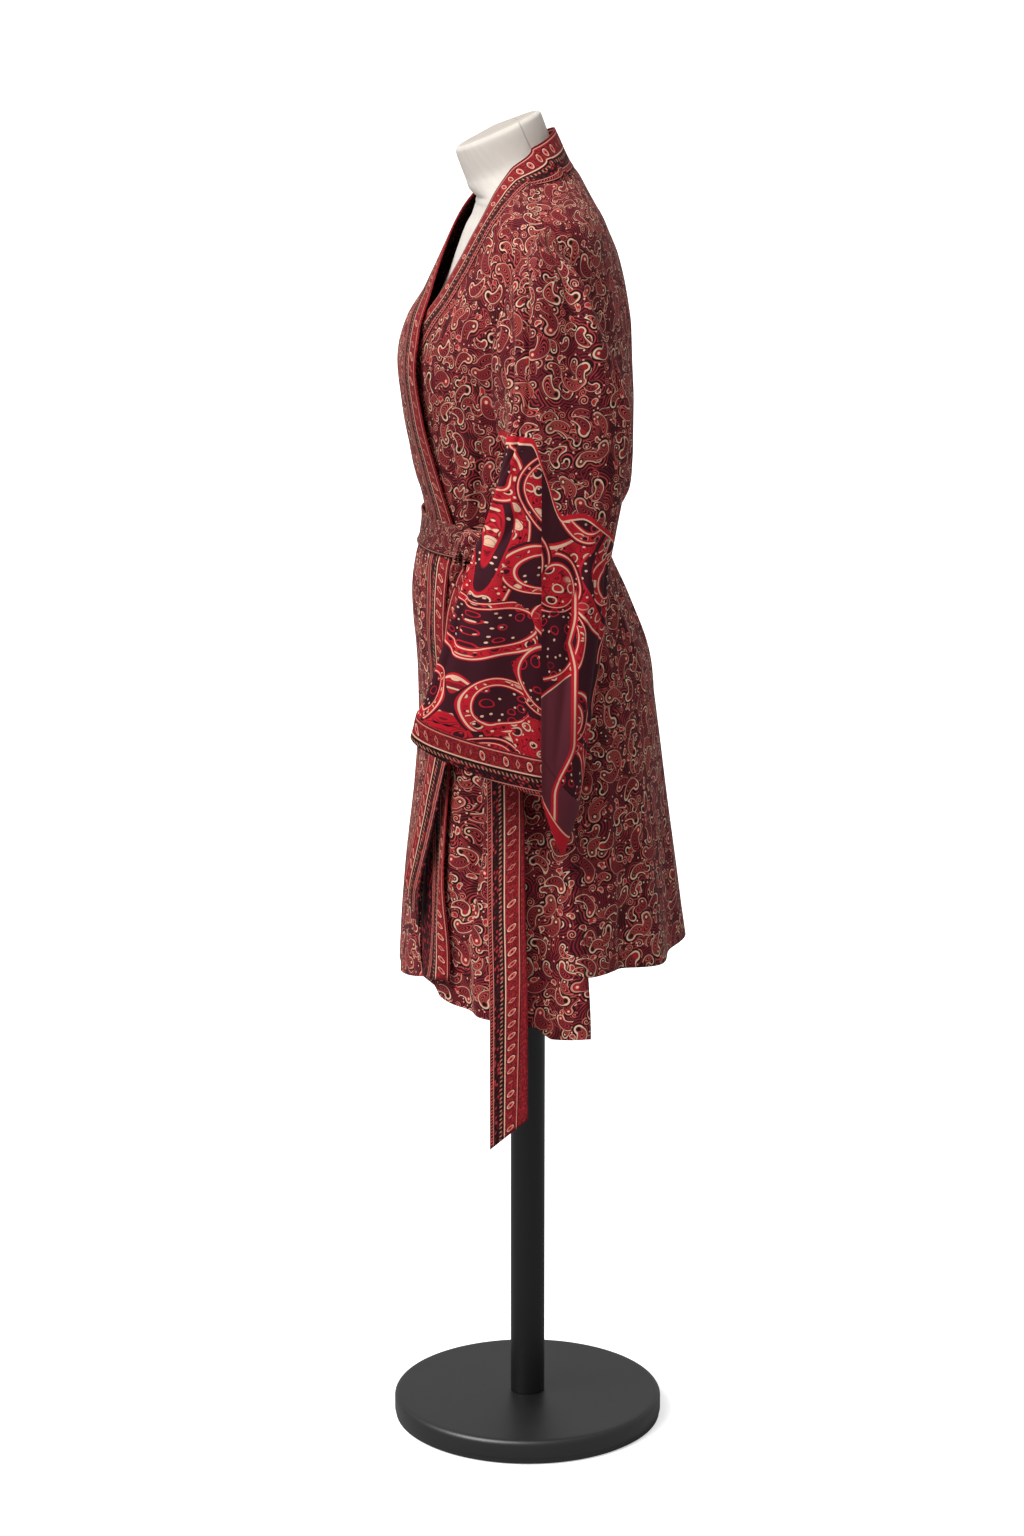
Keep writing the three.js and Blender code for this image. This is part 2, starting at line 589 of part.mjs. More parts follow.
function sleeve(side) {
  const reach = side > 0 ? LEFT_REACH : RIGHT_REACH;
  const columns = [...Array(SLEEVE_COLUMNS).keys()];
  const armhole = columns.map((i) => armholePoint(i, side));
  const bottom = armhole[ARM_ROWS];
  const grid = SLEEVE.map((row, k) =>
    columns.map((i) => {
      const point = sleeveSection(row, i / SLEEVE_COLUMNS, side, reach);
      const free = SLEEVE_FREE[k] ?? 1;
      const high = (armhole[i].z - bottom.z) / (armhole[0].z - bottom.z);
      point.y = mix(armhole[i].y + mix(-8, SLEEVE_OUT_Y, high), point.y, free);
      point.z = mix(mix(row.inZ, row.outZ, high), point.z, free);
      return point;
    }),
  );
  return clothTube([armhole, ...grid], CLOTH);
}

function cuff(side) {
  const reach = side > 0 ? LEFT_REACH : RIGHT_REACH;
  const columns = [...Array(SLEEVE_COLUMNS).keys()];
  const grid = CUFF.map((row) => columns.map((i) => sleeveSection(row, i / SLEEVE_COLUMNS, side, reach)));
  return clothTube(grid, BORDER_CLOTH);
}

// How far the sash lies off the body, clear of the layers below it
const sashLift = (angle, z) => rightLift(angle, z) * ease(-turned(angle), -61, -49) + BORDER_CLOTH + 0.85;

function sash() {
  const rows = 2;
  return tube(SASH_COLUMNS, rows, (column, row, outside) => {
    const angle = (360 * column) / SASH_COLUMNS;
    const z = WAIST_Z + (row / rows - 0.5) * SASH_WIDTH;
    return onBody(angle, z, sashLift(angle, z) + (outside ? SASH_CLOTH : 0));
  });
}

// A free end of the sash: it lies on the skirt, and below the hem it hangs straight down
function sashTail(table, tip, under) {
  const rows = 14;
  const columns = 4;
  const top = table[0].z;
  const upward = [...table].reverse();
  const lowest = upward[0].z;
  return panel(columns, rows, (column, row, outside) => {
    const across = column / columns - 0.5;
    const bottom = mix(tip.fore, tip.rear, column / columns);
    const z = mix(bottom, top, row / rows);
    const held = Math.max(z, lowest);
    const angle = read(upward, "angle", held);
    const lift = read(upward, "lift", held) + under(angle, held);
    const wide = read(upward, "wide", held);
    const middle = onBody(angle, held, lift);
    const out = bodyNormal(angle, held).setZ(0).normalize();
    const along = new THREE.Vector3(-out.y, out.x, 0);
    middle.z = z;
    return middle
      .addScaledVector(along, across * wide)
      .addScaledVector(out, outside ? SASH_CLOTH : 0);
  });
}

// The knot is a soft lump that stands on the sash
function knot() {
  const rows = 8;
  const columns = 14;
  const out = bodyNormal(KNOT_ANGLE, WAIST_Z).setZ(0).normalize();
  const along = new THREE.Vector3(-out.y, out.x, 0);
  const lift = sashLift(KNOT_ANGLE, WAIST_Z) + SASH_CLOTH + SEAM + KNOT_HALF.out + 1.2;
  const middle = onBody(KNOT_ANGLE, WAIST_Z, lift);
  return lump(columns, rows, (column, row) => {
    const up = Math.PI * (row / rows);
    const round = 2 * Math.PI * (column / columns);
    return middle
      .clone()
      .addScaledVector(along, KNOT_HALF.along * boxy(Math.sin(up), 0.7) * boxy(Math.cos(round), 0.8))
      .addScaledVector(out, KNOT_HALF.out * boxy(Math.sin(up), 0.7) * boxy(Math.sin(round), 0.8))
      .add(new THREE.Vector3(0, 0, KNOT_HALF.up * boxy(Math.cos(up), 0.9)));
  });
}

// A bow loop that droops beside the knot: a flat teardrop ring of sash
function loop(way) {
  const out = bodyNormal(KNOT_ANGLE, WAIST_Z).setZ(0).normalize();
  const along = new THREE.Vector3(-out.y, out.x, 0).multiplyScalar(way);
  const lift = sashLift(KNOT_ANGLE, WAIST_Z) + SASH_CLOTH + KNOT_HALF.out + 1.4;
  const root = onBody(KNOT_ANGLE, WAIST_Z, lift).addScaledVector(along, KNOT_HALF.along + SEAM);
  const length = 34;
  const half = 9;
  const droop = 26;
  const columns = 18;
  const rows = 1;
  return tube(columns, rows, (column, row, outside) => {
    const turn = (2 * Math.PI * column) / columns;
    const reach = (1 - Math.cos(turn)) / 2;
    const open = half * Math.sin(turn) * (0.35 + 0.65 * reach);
    const grow = outside ? SASH_CLOTH : 0;
    return root
      .clone()
      .addScaledVector(along, length * reach + grow * (reach - 0.1))
      .addScaledVector(out, open + grow * Math.sin(turn) * 0.9 + 4 * reach)
      .add(new THREE.Vector3(0, 0, (row - 0.5) * SASH_WIDTH * 0.72 - droop * reach * reach));
  });
}

function formTorso() {
  const rows = FORM.length + 1;
  return lump(FORM_COLUMNS, rows, (column, row) => {
    if (row === 0) return new THREE.Vector3(0, FORM[0].middle, FORM_BOTTOM_Z);
    if (row === rows) return FORM_TOP;
    const ring = FORM[row - 1];
    const a = (2 * Math.PI * column) / FORM_COLUMNS;
    const tilt = radians(ring.tilt);
    const depth = (Math.cos(a) > 0 ? ring.fore : ring.rear) * Math.cos(a);
    return new THREE.Vector3(
      ring.side * Math.sin(a),
      ring.middle - depth * Math.cos(tilt),
      ring.z - depth * Math.sin(tilt),
    );
  });
}

function lathe(profile, segments) {
  const points = profile.map(([radius, z]) => new THREE.Vector2(radius, z));
  return new THREE.LatheGeometry(points, segments).rotateX(Math.PI / 2);
}

function standBase() {
  const profile = [[0, 0], [BASE_RADIUS - 2, 0], [BASE_RADIUS, 2]];
  const steps = 4;
  for (let i = 0; i <= steps; i++) {
    const a = ((Math.PI / 2) * i) / steps;
    profile.push([
      BASE_RADIUS - BASE_ROUND + BASE_ROUND * Math.cos(a),
      BASE_THICK - BASE_ROUND + BASE_ROUND * Math.sin(a),
    ]);
  }
  profile.push([0, BASE_THICK]);
  return lathe(profile, 48);
}

function standPole() {
  return lathe(
    [[0, BASE_THICK + SEAM], [POLE_RADIUS, BASE_THICK + SEAM], [POLE_RADIUS, FORM_BOTTOM_Z - SEAM], [0, FORM_BOTTOM_Z - SEAM]],
    24,
  );
}

const PRINT = { color: 0x6e2430, roughness: 0.75, metalness: 0 };
const BORDER = { color: 0xa02c34, roughness: 0.75, metalness: 0 };
const LINEN = { color: 0xe9e2d6, roughness: 0.9, metalness: 0 };
const BLACK = { color: 0x141416, roughness: 0.45, metalness: 0.1 };

const onLeft = () => CLOTH;
const onRight = (angle, z) => rightLift(angle, z) * ease(-turned(angle), -50, -42) + BORDER_CLOTH;

const PIECES = [
  ["back", backPanel(), PRINT],
  ["front_left", frontPanel(1), PRINT],
  ["front_right", frontPanel(-1), PRINT],
  ["collar_band", collarBand(), BORDER],
  ["sleeve_left", sleeve(1), PRINT],
  ["sleeve_right", sleeve(-1), PRINT],
  ["cuff_left", cuff(1), BORDER],
  ["cuff_right", cuff(-1), BORDER],
  ["belt_wrap", sash(), BORDER],
  ["belt_knot", knot(), BORDER],
  ["belt_loop_front", loop(-1), BORDER],
  ["belt_loop_back", loop(1), BORDER],
  ["belt_tail_long", sashTail(TAIL_LONG, TAIL_LONG_TIP_Z, onLeft), BORDER],
  ["belt_tail_short", sashTail(TAIL_SHORT, TAIL_SHORT_TIP_Z, onRight), BORDER],
  ["form_torso", formTorso(), LINEN],
  ["stand_pole", standPole(), BLACK],
  ["stand_base", standBase(), BLACK],
];

const kimonoOnForm = new THREE.Group();
for (const [name, geometry, finish] of PIECES) {
  const mesh = new THREE.Mesh(geometry, new THREE.MeshStandardMaterial(finish));
  mesh.name = name;
  kimonoOnForm.add(mesh);
}

export default kimonoOnForm;
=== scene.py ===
"""A wrap kimono of printed cloth with its sash, on a limbless dress form with a pole and a round base.

Sizes are in millimetres and become metres when a mesh is made. The wearer faces -Y, and +X is the wearer's
left. Angles go round the body in degrees: 0 is the front, 90 the wearer's left, 180 the back.
"""

import math

import bmesh
import bpy
import numpy as np
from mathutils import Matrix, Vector


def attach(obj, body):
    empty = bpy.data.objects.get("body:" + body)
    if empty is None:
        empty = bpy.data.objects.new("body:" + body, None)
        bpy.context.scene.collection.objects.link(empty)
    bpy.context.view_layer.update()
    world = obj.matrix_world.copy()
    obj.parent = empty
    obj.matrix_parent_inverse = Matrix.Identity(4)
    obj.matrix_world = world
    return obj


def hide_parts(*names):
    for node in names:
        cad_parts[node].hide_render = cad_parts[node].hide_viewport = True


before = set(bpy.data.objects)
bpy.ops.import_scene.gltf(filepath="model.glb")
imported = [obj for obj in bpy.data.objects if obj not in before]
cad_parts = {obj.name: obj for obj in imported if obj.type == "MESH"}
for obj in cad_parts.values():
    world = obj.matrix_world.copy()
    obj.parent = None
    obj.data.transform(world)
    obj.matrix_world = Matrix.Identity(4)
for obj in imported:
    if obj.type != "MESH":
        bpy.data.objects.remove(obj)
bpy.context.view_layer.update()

# Camera and light

CAMERA_PLACE = (3.7840, -0.3487, 1.6250)
CAMERA_AIM = (-0.97066, 0.08492, -0.22495)
CAMERA_LENS = 84.14
SENSOR_WIDTH = 36
WORLD_GLOW = 0.43
BACKDROP = (0.99, 0.99, 0.99, 1)
KEY_WAY = (-0.95, 1.6, -2.35)
KEY_LIGHT = 3.4
KEY_WIDTH = 42  # degrees
TOP_WAY = (-0.3, -0.2, -3.0)
TOP_LIGHT = 0.10
TOP_WIDTH = 70
FLOOR_PALE = (0.93, 0.93, 0.93, 1)
FLOOR_GLOW = 0.52
FLOOR_BOUNCE = (0.30, 0.30, 0.30, 1)  # what the floor throws back up at the garment


def add_object(name, data):
    holder = bpy.data.objects.new(name, data)
    bpy.context.scene.collection.objects.link(holder)
    return holder


def aimed(way):
    """The turn that points a camera or a light along a direction."""
    return Vector(way).to_track_quat("-Z", "Y").to_euler()


def add_camera():
    camera = bpy.data.cameras.new("camera")
    camera.lens = CAMERA_LENS
    camera.sensor_width = SENSOR_WIDTH
    camera.clip_end = 1000
    holder = add_object("camera", camera)
    holder.location = CAMERA_PLACE
    holder.rotation_euler = aimed(CAMERA_AIM)
    bpy.context.scene.camera = holder


def add_sun(name, towards, strength, width):
    """A soft far light that shines towards the given direction, as wide as width in degrees."""
    lamp = bpy.data.lights.new(name, "SUN")
    lamp.energy = strength
    lamp.angle = math.radians(width)
    add_object(name, lamp).rotation_euler = aimed(towards)


def add_studio():
    """Soft light from all round, stronger from above and the front; what is behind shows as plain white."""
    world = bpy.data.worlds.new("studio")
    bpy.context.scene.world = world
    world.use_nodes = True
    nodes, links = world.node_tree.nodes, world.node_tree.links
    glow = nodes["Background"]
    glow.inputs["Color"].default_value = (1, 1, 1, 1)
    glow.inputs["Strength"].default_value = WORLD_GLOW
    shown = nodes.new("ShaderNodeBackground")
    shown.inputs["Color"].default_value = BACKDROP
    path = nodes.new("ShaderNodeLightPath")
    either = nodes.new("ShaderNodeMixShader")
    links.new(path.outputs["Is Camera Ray"], either.inputs[0])
    links.new(glow.outputs[0], either.inputs[1])
    links.new(shown.outputs[0], either.inputs[2])
    links.new(either.outputs[0], nodes["World Output"].inputs["Surface"])
    add_sun("key", KEY_WAY, KEY_LIGHT, KEY_WIDTH)
    add_sun("top", TOP_WAY, TOP_LIGHT, TOP_WIDTH)
    bpy.context.scene.view_settings.view_transform = "Standard"


# The garment's sizes, in millimetres and degrees

CLOTH = 0.9  # one layer of cloth as it shows
BORDER_CLOTH = 1.7  # the folded border band
SASH_CLOTH = 2.2
CAD_CLOTH = 1.6  # the solids' walls
CAD_BORDER = 2.2
PANEL_LIFT = 0.2  # the panels over the body's surface
BAND_LIFT = 0.15
BAND_WIDTH = 42
SASH_WIDTH = 40
OVERLAP_LIFT = 3.6  # the right front over the left one
BUST_LIFT = 5
HEM_LIFT = 5
WAIST_Z = 1014
UNDERARM_Z = 1111
SHOULDER_TIP_Z = 1344
SHOULDER_TURN_Z = 1340
SQUARENESS = 0.94
BASE_RADIUS = 150
BASE_THICK = 28
POLE_RADIUS = 19
FORM_BOTTOM_Z = 770
ARM_ROWS = 12  # rows and columns that the panels' places are worked out by
SKIRT_ROWS = 12
SHOULDER_COLUMNS = 6
NAPE_COLUMNS = 14
BACK_COLUMNS = 2 * SHOULDER_COLUMNS + NAPE_COLUMNS
NECK_SIDE_Z = 1415
NAPE_Z = 1433
BACK_ARCH_Z = 1398  # the top of the back's rows in its middle, below the collar
HEM_BACK_Z = 574
HEM_Z = 511
BACK_SINK = 7  # how much lower the back's hem hangs in its middle


def table(names, rows):
    """Named columns from rows of numbers."""
    return dict(zip(names.split(), np.array(rows, dtype=float).T))


GARMENT = table("z side front back middle", [
    (511, 217, -134, 168, 12),
    (612, 209, -127, 158, 10),
    (721, 196, -117, 146, 8),
    (806, 186, -112, 137, 5),
    (871, 176, -114, 128, 2),
    (941, 159, -119, 103, -4),
    (984, 142, -115, 86, -10),
    (1005, 132, -107, 79, -13),
    (1026, 131, -105, 82, -13),
    (1046, 141, -108, 99, -12),
    (1068, 151, -113, 107, -10),
    (1100, 161, -118, 109, -9),
    (1150, 173, -125, 109, -8),
    (1190, 184, -129, 107, -6),
    (1230, 193, -122, 105, -4),
    (1270, 200, -101, 99, -2),
    (1306, 201, -83, 90, 0),
    (1330, 194, -72, 80, 2),
    (1344, 182, -65, 74, 3),
    (1356, 158, -59, 67, 4),
    (1371, 118, -52, 59, 5),
    (1386, 87, -45, 51, 4),
    (1399, 77, -41, 41, 1),
    (1420, 62, -36, 31, -5),
    (1440, 52, -33, 24, -7),
])
SKIRT_FOLDS = table("angle spread depth top", [
    (101, 8, 13, 900),
    (87, 6, -11, 860),
    (66, 9, 6, 880),
    (51, 6, -7, 820),
    (20, 10, 4, 800),
    (-4, 9, -4, 800),
    (-34, 9, 6, 850),
    (-58, 7, -6, 830),
    (-80, 9, 8, 880),
    (118, 7, -9, 880),
    (134, 8, 8, 860),
    (153, 8, -7, 840),
    (172, 9, 7, 870),
    (192, 8, -6, 850),
    (212, 9, 8, 880),
    (232, 8, -8, 840),
    (250, 8, 7, 860),
])
LEFT_EDGE = table("z angle", [
    (515, -38),
    (906, -38),
    (1014, -36),
    (1073, -28),
    (1137, -18),
    (1170, -11),
    (1209, 3),
    (1243, 14),
    (1271, 19),
    (1296, 22),
    (1334, 27),
    (1363, 34),
    (1394, 55),
    (1415, 90),
])
RIGHT_EDGE = table("z angle", [
    (556, 44.6),
    (690, 40),
    (887, 38),
    (953, 41),
    (1006, 43),
    (1031, 41),
    (1050, 38),
    (1080, 35),
    (1142, 29.5),
    (1174, 27.5),
    (1210, 26),
    (1237, 21),
    (1271, 8),
    (1306, -6),
    (1339, -21),
    (1363, -34),
    (1394, -55),
    (1415, -90),
])
ARMHOLE = table("down z inset", [
    (0, 1344, 0),
    (0.2, 1318, 9),
    (0.5, 1238, 20),
    (0.8, 1152, 17),
    (1, 1111, 0),
])
HEM_LEFT = table(
    "angle z", [(-38, 572), (24, 566), (33, 549), (37, 533), (53, 526), (79, 523), (88, 504), (100, 509)]
)
HEM_RIGHT = table("angle z", [(-100, 514), (-60, 515), (-20, 522), (0, 528), (20, 541), (44.6, 556)])
WAIST_EDGE = np.array([1156, 1110, 1068, 1034.5, WAIST_Z, 993.5])
WAIST_SIDE = np.array([UNDERARM_Z, 1084, 1059, 1034.5, WAIST_Z, 993.5])
WAIST_ROWS = len(WAIST_EDGE) - 1
PANEL_ROWS = ARM_ROWS + WAIST_ROWS + SKIRT_ROWS
SIDE_SEAM = table("z angle", [(511, 100), (850, 97), (WAIST_Z, 93), (UNDERARM_Z, 90)])
SLEEVE = table("outX outZ inX inZ midX foreY foreZ rearY rearZ", [
    (207, 1335, 172, 1104, 192, -46, 1226, 62, 1226),
    (229, 1314, 177, 1092, 205, -42, 1201, 74, 1201),
    (245, 1276, 182, 1076, 213, -40, 1171, 79, 1171),
    (254, 1221, 186, 1056, 219, -41, 1136, 80, 1136),
    (259, 1161, 189, 1031, 223, -48, 1096, 76, 1096),
    (261, 1101, 191, 1001, 225, -60, 1056, 68, 1051),
    (262, 1041, 193, 966, 226, -77, 1011, 60, 1003),
    (262, 981, 195, 931, 227, -95, 961, 57, 951),
    (262, 921, 197, 896, 227, -111, 913, 49, 893),
    (261, 866, 199, 864, 226, -124, 878, 40, 830),
    (260, 818, 202, 842, 223, -133, 858, 32, 768),
])
CUFF = table("outX outZ inX inZ midX foreY foreZ rearY rearZ", [
    (260, 817.4, 202, 841.4, 223, -133.3, 857.4, 31.8, 767.4),
    (259, 797, 203, 822, 221, -136, 845, 24, 739),
    (258, 777, 204, 804, 219, -139, 833, 15, 710),
])
SLEEVE_FREE = [0.3, 0.6, 0.85] + [1] * 8  # how free each section is of the armhole's line
SLEEVE_OUT_Y = -11
SLEEVE_SQUARENESS = 0.86
FORE_REACH = {1: 1, -1: 0.658}  # how far each sleeve's fore side stands out, the left one being 1
FORM = table("z side fore rear middle tilt", [
    (770, 150, 98, 112, 4, 0),
    (778, 161, 104, 121, 4, 0),
    (850, 166, 104, 116, 3, 0),
    (920, 153, 101, 96, 0, 0),
    (980, 129, 91, 80, -8, 0),
    (1020, 116, 85, 80, -12, 0),
    (1070, 124, 93, 96, -10, 0),
    (1130, 140, 108, 106, -8, 0),
    (1190, 155, 113, 105, -6, 0),
    (1240, 167, 99, 102, -4, 0),
    (1280, 178, 82, 94, -2, 0),
    (1310, 184, 73, 84, 0, 0),
    (1330, 183, 67, 72, 2, 0),
    (1343, 174.5, 61, 62, 3, 0),
    (1354.9, 157.3, 58, 54, 3, 2),
    (1363, 137.3, 56, 50, 1, 5),
    (1370.5, 116.3, 54, 47, -1, 8),
    (1377, 92, 54, 46, -5, 12),
    (1386, 66, 53, 47, -12, 16),
    (1400, 52, 50, 48, -20, 21),
    (1429, 47, 49, 49, -32, 24),
    (1433, 42, 44, 44, -33.5, 24),
])
FORM_COLUMNS = 112
FORM_HEART = (0, -10, 1100)  # a place inside the form
FORM_TOP = np.array([0, -36, 1437.0])
CAP_TILT = math.radians(24)
CAP_NORMAL = (0, -math.sin(CAP_TILT), math.cos(CAP_TILT))
CAP_HEIGHT = 0.001 * float(FORM_TOP @ np.array(CAP_NORMAL))  # in metres along its normal
TAIL_LONG = table("z angle lift wide", [
    (540, 72, 7, 40),
    (650, 71, 6, 40),
    (790, 70, 5, 40),
    (900, 67, 5, 40),
    (945, 66, 5, 38),
    (978, 65, 5.8, 31),
    (995, 62.5, 8.6, 26),
])
TAIL_LONG_TIP = (387, 422)
TAIL_SHORT = table("z angle lift wide", [
    (640, 25, 9, 40),
    (700, 29, 9, 40),
    (800, 37, 8, 40),
    (900, 49, 8, 40),
    (945, 54, 10, 38),
    (978, 58.5, 10.5, 31),
    (995, 61.5, 11.9, 26),
])
TAIL_SHORT_TIP = (646, 604)
KNOT_ANGLE = 62
KNOT_ALONG, KNOT_OUT, KNOT_UP = 14, 10, 17
LOOP_HANG = 46

# Shaping helpers


def read(columns, name, at, key="z"):
    """One smooth column of a table at any place, with no overshoot between its rows."""
    x, y = columns[key], columns[name]
    at = np.clip(at, x[0], x[-1])
    i = np.clip(np.searchsorted(x, at, side="right") - 1, 0, len(x) - 2)
    step = np.diff(x)
    slope = np.diff(y) / step
    tangent = np.zeros(len(x))
    same = slope[:-1] * slope[1:] > 0
    with np.errstate(divide="ignore", invalid="ignore"):
        joined = 2 * slope[:-1] * slope[1:] / (slope[:-1] + slope[1:])
    tangent[1:-1] = np.where(same, joined, 0)
    t = (at - x[i]) / step[i]
    return (
        y[i] * (1 + 2 * t) * (1 - t) ** 2
        + tangent[i] * step[i] * t * (1 - t) ** 2
        + y[i + 1] * t * t * (3 - 2 * t)
        + tangent[i + 1] * step[i] * t * t * (t - 1)
    )


def mix(a, b, t):
    return a + (b - a) * t


def ease(x, low, high):
    t = np.clip((np.asarray(x, dtype=float) - low) / (high - low), 0, 1)
    return t * t * (3 - 2 * t)


def turned(angle):
    """An angle brought within -180 to 180."""
    return (np.asarray(angle) + 180) % 360 - 180


def boxy(value, power):
    return np.sign(value) * np.abs(value) ** power


def unit(vectors):
    return vectors / np.linalg.norm(vectors, axis=-1, keepdims=True)


def dot(a, b):
    return (a * b).sum(axis=-1)


def creased(creases, x, y, span=None):
    """Soft troughs and ridges: each runs from place to place, bows a little and dies out at both ends."""
    total = np.zeros(np.shape(x))
    for x0, y0, x1, y1, bow, width, depth in creases:
        away_x = x - x0 if span is None else (x - x0 + span / 2) % span - span / 2
        long = math.hypot(x1 - x0, y1 - y0)
        ux, uy = (x1 - x0) / long, (y1 - y0) / long
        t = (away_x * ux + (y - y0) * uy) / long
        side = away_x * -uy + (y - y0) * ux
        held = np.clip(t, 0, 1)
        side = side - bow * np.sin(np.pi * held)
        fade = np.where((t > 0) & (t < 1), np.sin(np.pi * held) ** 0.8, 0)
        total += depth * fade * np.exp(-((side / (width * (0.6 + 0.4 * np.sin(np.pi * held)))) ** 2))
    return total


def fold_depth(angle, z):
    total = np.zeros(np.broadcast(angle, z).shape)
    for middle, spread, depth, top in zip(*(SKIRT_FOLDS[k] for k in ("angle", "spread", "depth", "top"))):
        away = turned(angle - middle) / spread
        total += depth * ease(top - z, 0, top - HEM_Z) * np.exp(-away * away)
    return total


def body_point(angle, z):
    """The garment's inner surface."""
    a = np.radians(angle)
    z = np.broadcast_to(z, np.shape(a)).astype(float)
    side, middle = read(GARMENT, "side", z), read(GARMENT, "middle", z)
    depth = np.where(np.cos(a) > 0, middle - read(GARMENT, "front", z), read(GARMENT, "back", z) - middle)
    out = unit(np.stack([np.sin(a) / side, -np.cos(a) / depth, 0 * z], -1))
    plain = np.stack(
        [side * boxy(np.sin(a), SQUARENESS), middle - depth * boxy(np.cos(a), SQUARENESS), z], -1
    )
    return plain + out * fold_depth(angle, z)[..., None]


def body_normal(angle, z):
    around = body_point(angle + 1.5, z) - body_point(angle - 1.5, z)
    up = body_point(angle, z + 2) - body_point(angle, z - 2)
    return unit(np.cross(around, up))


def right_lift(angle, z):
    """How far the right front lies off the left one."""
    hem = HEM_LIFT * ease(WAIST_Z - z, 40, WAIST_Z - HEM_Z)
    bust = BUST_LIFT * ease(z, 1045, 1140) * (1 - ease(z, 1205, 1265))
    return (OVERLAP_LIFT + bust + hem) * ease(turned(angle), -88, -48) * ease(1395 - z, 0, 60)


# Creases of the garment: from (degrees, height) to (degrees, height), bow, half width and depth in mm
DEGREE = 2.7  # mm of cloth to one degree round the body
BODY_CREASES = [
    # the bodice gathered onto the sash
    (-70, 1036, -62, 1105, 4, 6, -2.6),
    (-56, 1034, -40, 1120, -3, 8, 2.8),
    (-38, 1036, -26, 1090, 3, 6, -2.4),
    (-16, 1034, -10, 1110, -4, 7, 2.2),
    (4, 1036, 6, 1096, 3, 6, -2.0),
    (52, 1034, 58, 1108, 3, 7, 3.0),
    (60, 1036, 66, 1150, 4, 8, -4.6),
    (67, 1034, 76, 1120, -3, 7, 2.6),
    (75, 1036, 86, 1110, 3, 7, -4.2),
    (46, 1034, 44, 1130, 3, 7, -3.6),
    (100, 1036, 96, 1100, -3, 6, -2.6),
    (110, 1034, 104, 1140, 4, 8, 3.0),
    (121, 1036, 118, 1092, -3, 6, -2.6),
    (133, 1034, 128, 1160, 5, 8, 3.4),
    (146, 1036, 144, 1100, -3, 7, -2.4),
    (160, 1034, 156, 1130, 3, 8, 2.8),
    (176, 1036, 178, 1098, 2, 7, -2.8),
    (190, 1034, 194, 1150, -4, 9, 3.2),
    (205, 1036, 208, 1090, 3, 6, -2.2),
    (221, 1034, 226, 1140, -3, 8, 3.2),
    (236, 1036, 240, 1104, 3, 7, -2.6),
    (252, 1034, 256, 1120, -3, 7, 2.6),
    # drawn from the underarm and across the back
    (96, 1150, 132, 1236, 8, 10, -3.0),
    (100, 1182, 142, 1262, 6, 12, 2.6),
    (262, 1150, 224, 1236, -8, 10, -3.0),
    (258, 1182, 216, 1262, -6, 12, 2.6),
    (76, 1150, 52, 1196, -6, 9, -2.4),
    (-76, 1150, -52, 1196, 6, 9, -2.4),
    (150, 1300, 158, 1200, 5, 12, 2.0),
    (212, 1300, 204, 1200, -5, 12, 2.0),
    # the skirt below the sash
    (-72, 992, -76, 860, 4, 7, 3.2),
    (-60, 990, -60, 900, -3, 5, -2.6),
    (-46, 992, -44, 820, 5, 8, 3.0),
    (-30, 990, -30, 910, 2, 5, -2.4),
    (-14, 992, -12, 850, -4, 7, 2.6),
    (2, 990, 2, 900, 3, 6, -2.4),
    (16, 992, 14, 840, 4, 7, 2.4),
    (30, 990, 28, 900, -3, 6, -2.4),
    (50, 992, 50, 870, -4, 6, 2.4),
    (74, 992, 76, 800, 4, 7, 3.0),
    (83, 990, 86, 880, -3, 5, -2.6),
    (96, 992, 100, 850, 3, 7, 3.2),
    (106, 990, 110, 900, -3, 5, -2.6),
    (117, 992, 122, 830, 4, 8, 3.4),
    (129, 990, 133, 910, -2, 5, -2.6),
    (141, 992, 146, 800, 5, 8, 3.4),
    (155, 990, 159, 900, -3, 6, -2.8),
    (169, 992, 171, 840, 4, 8, 3.4),
    (182, 990, 184, 890, -3, 6, -2.8),
    (196, 992, 198, 810, 4, 8, 3.4),
    (209, 990, 212, 900, -3, 6, -2.6),
    (224, 992, 228, 840, 4, 8, 3.2),
    (238, 990, 240, 880, 3, 6, -2.6),
    (252, 992, 254, 830, -4, 8, 3.2),
    (264, 990, 264, 900, 3, 5, -2.4),
    # the fold that stands out by the left side seam, and its hollows
    (91, 900, 94, 505, 5, 11, 7.0),
    (83, 880, 84, 505, 4, 10, -6.0),
    (102, 880, 104, 560, -4, 11, -6.5),
    (68, 900, 69, 505, -5, 10, 3.4),
    (112, 900, 114, 560, 4, 12, 4.0),
    # the hollow under the cuff, and the full fold below it
    (50, 796, 52, 600, 4, 13, -17.0),
    (60, 740, 59, 512, -4, 13, 9.0),
    (40, 790, 39, 530, 3, 8, 4.0),
    # long soft waves lower down
    (60, 800, 62, 520, 6, 9, 2.6),
    (80, 780, 80, 505, -5, 7, -2.6),
    (110, 780, 112, 560, 5, 8, 2.6),
    (126, 740, 127, 575, -4, 8, -2.6),
    (143, 760, 145, 575, 5, 8, 2.2),
    (163, 720, 164, 575, -4, 8, 2.6),
    (183, 760, 182, 575, 4, 8, -2.4),
    (203, 730, 202, 575, -4, 8, 2.6),
    (222, 760, 223, 575, 4, 8, 2.4),
    (242, 720, 241, 575, -4, 8, -2.4),
    (-70, 760, -70, 515, 4, 8, 2.4),
    (-46, 720, -46, 515, -4, 8, -2.2),
    (-22, 780, -20, 520, 5, 9, 2.6),
    (10, 720, 10, 530, -4, 8, 2.2),
    (32, 740, 31, 545, 4, 8, -2.2),
]
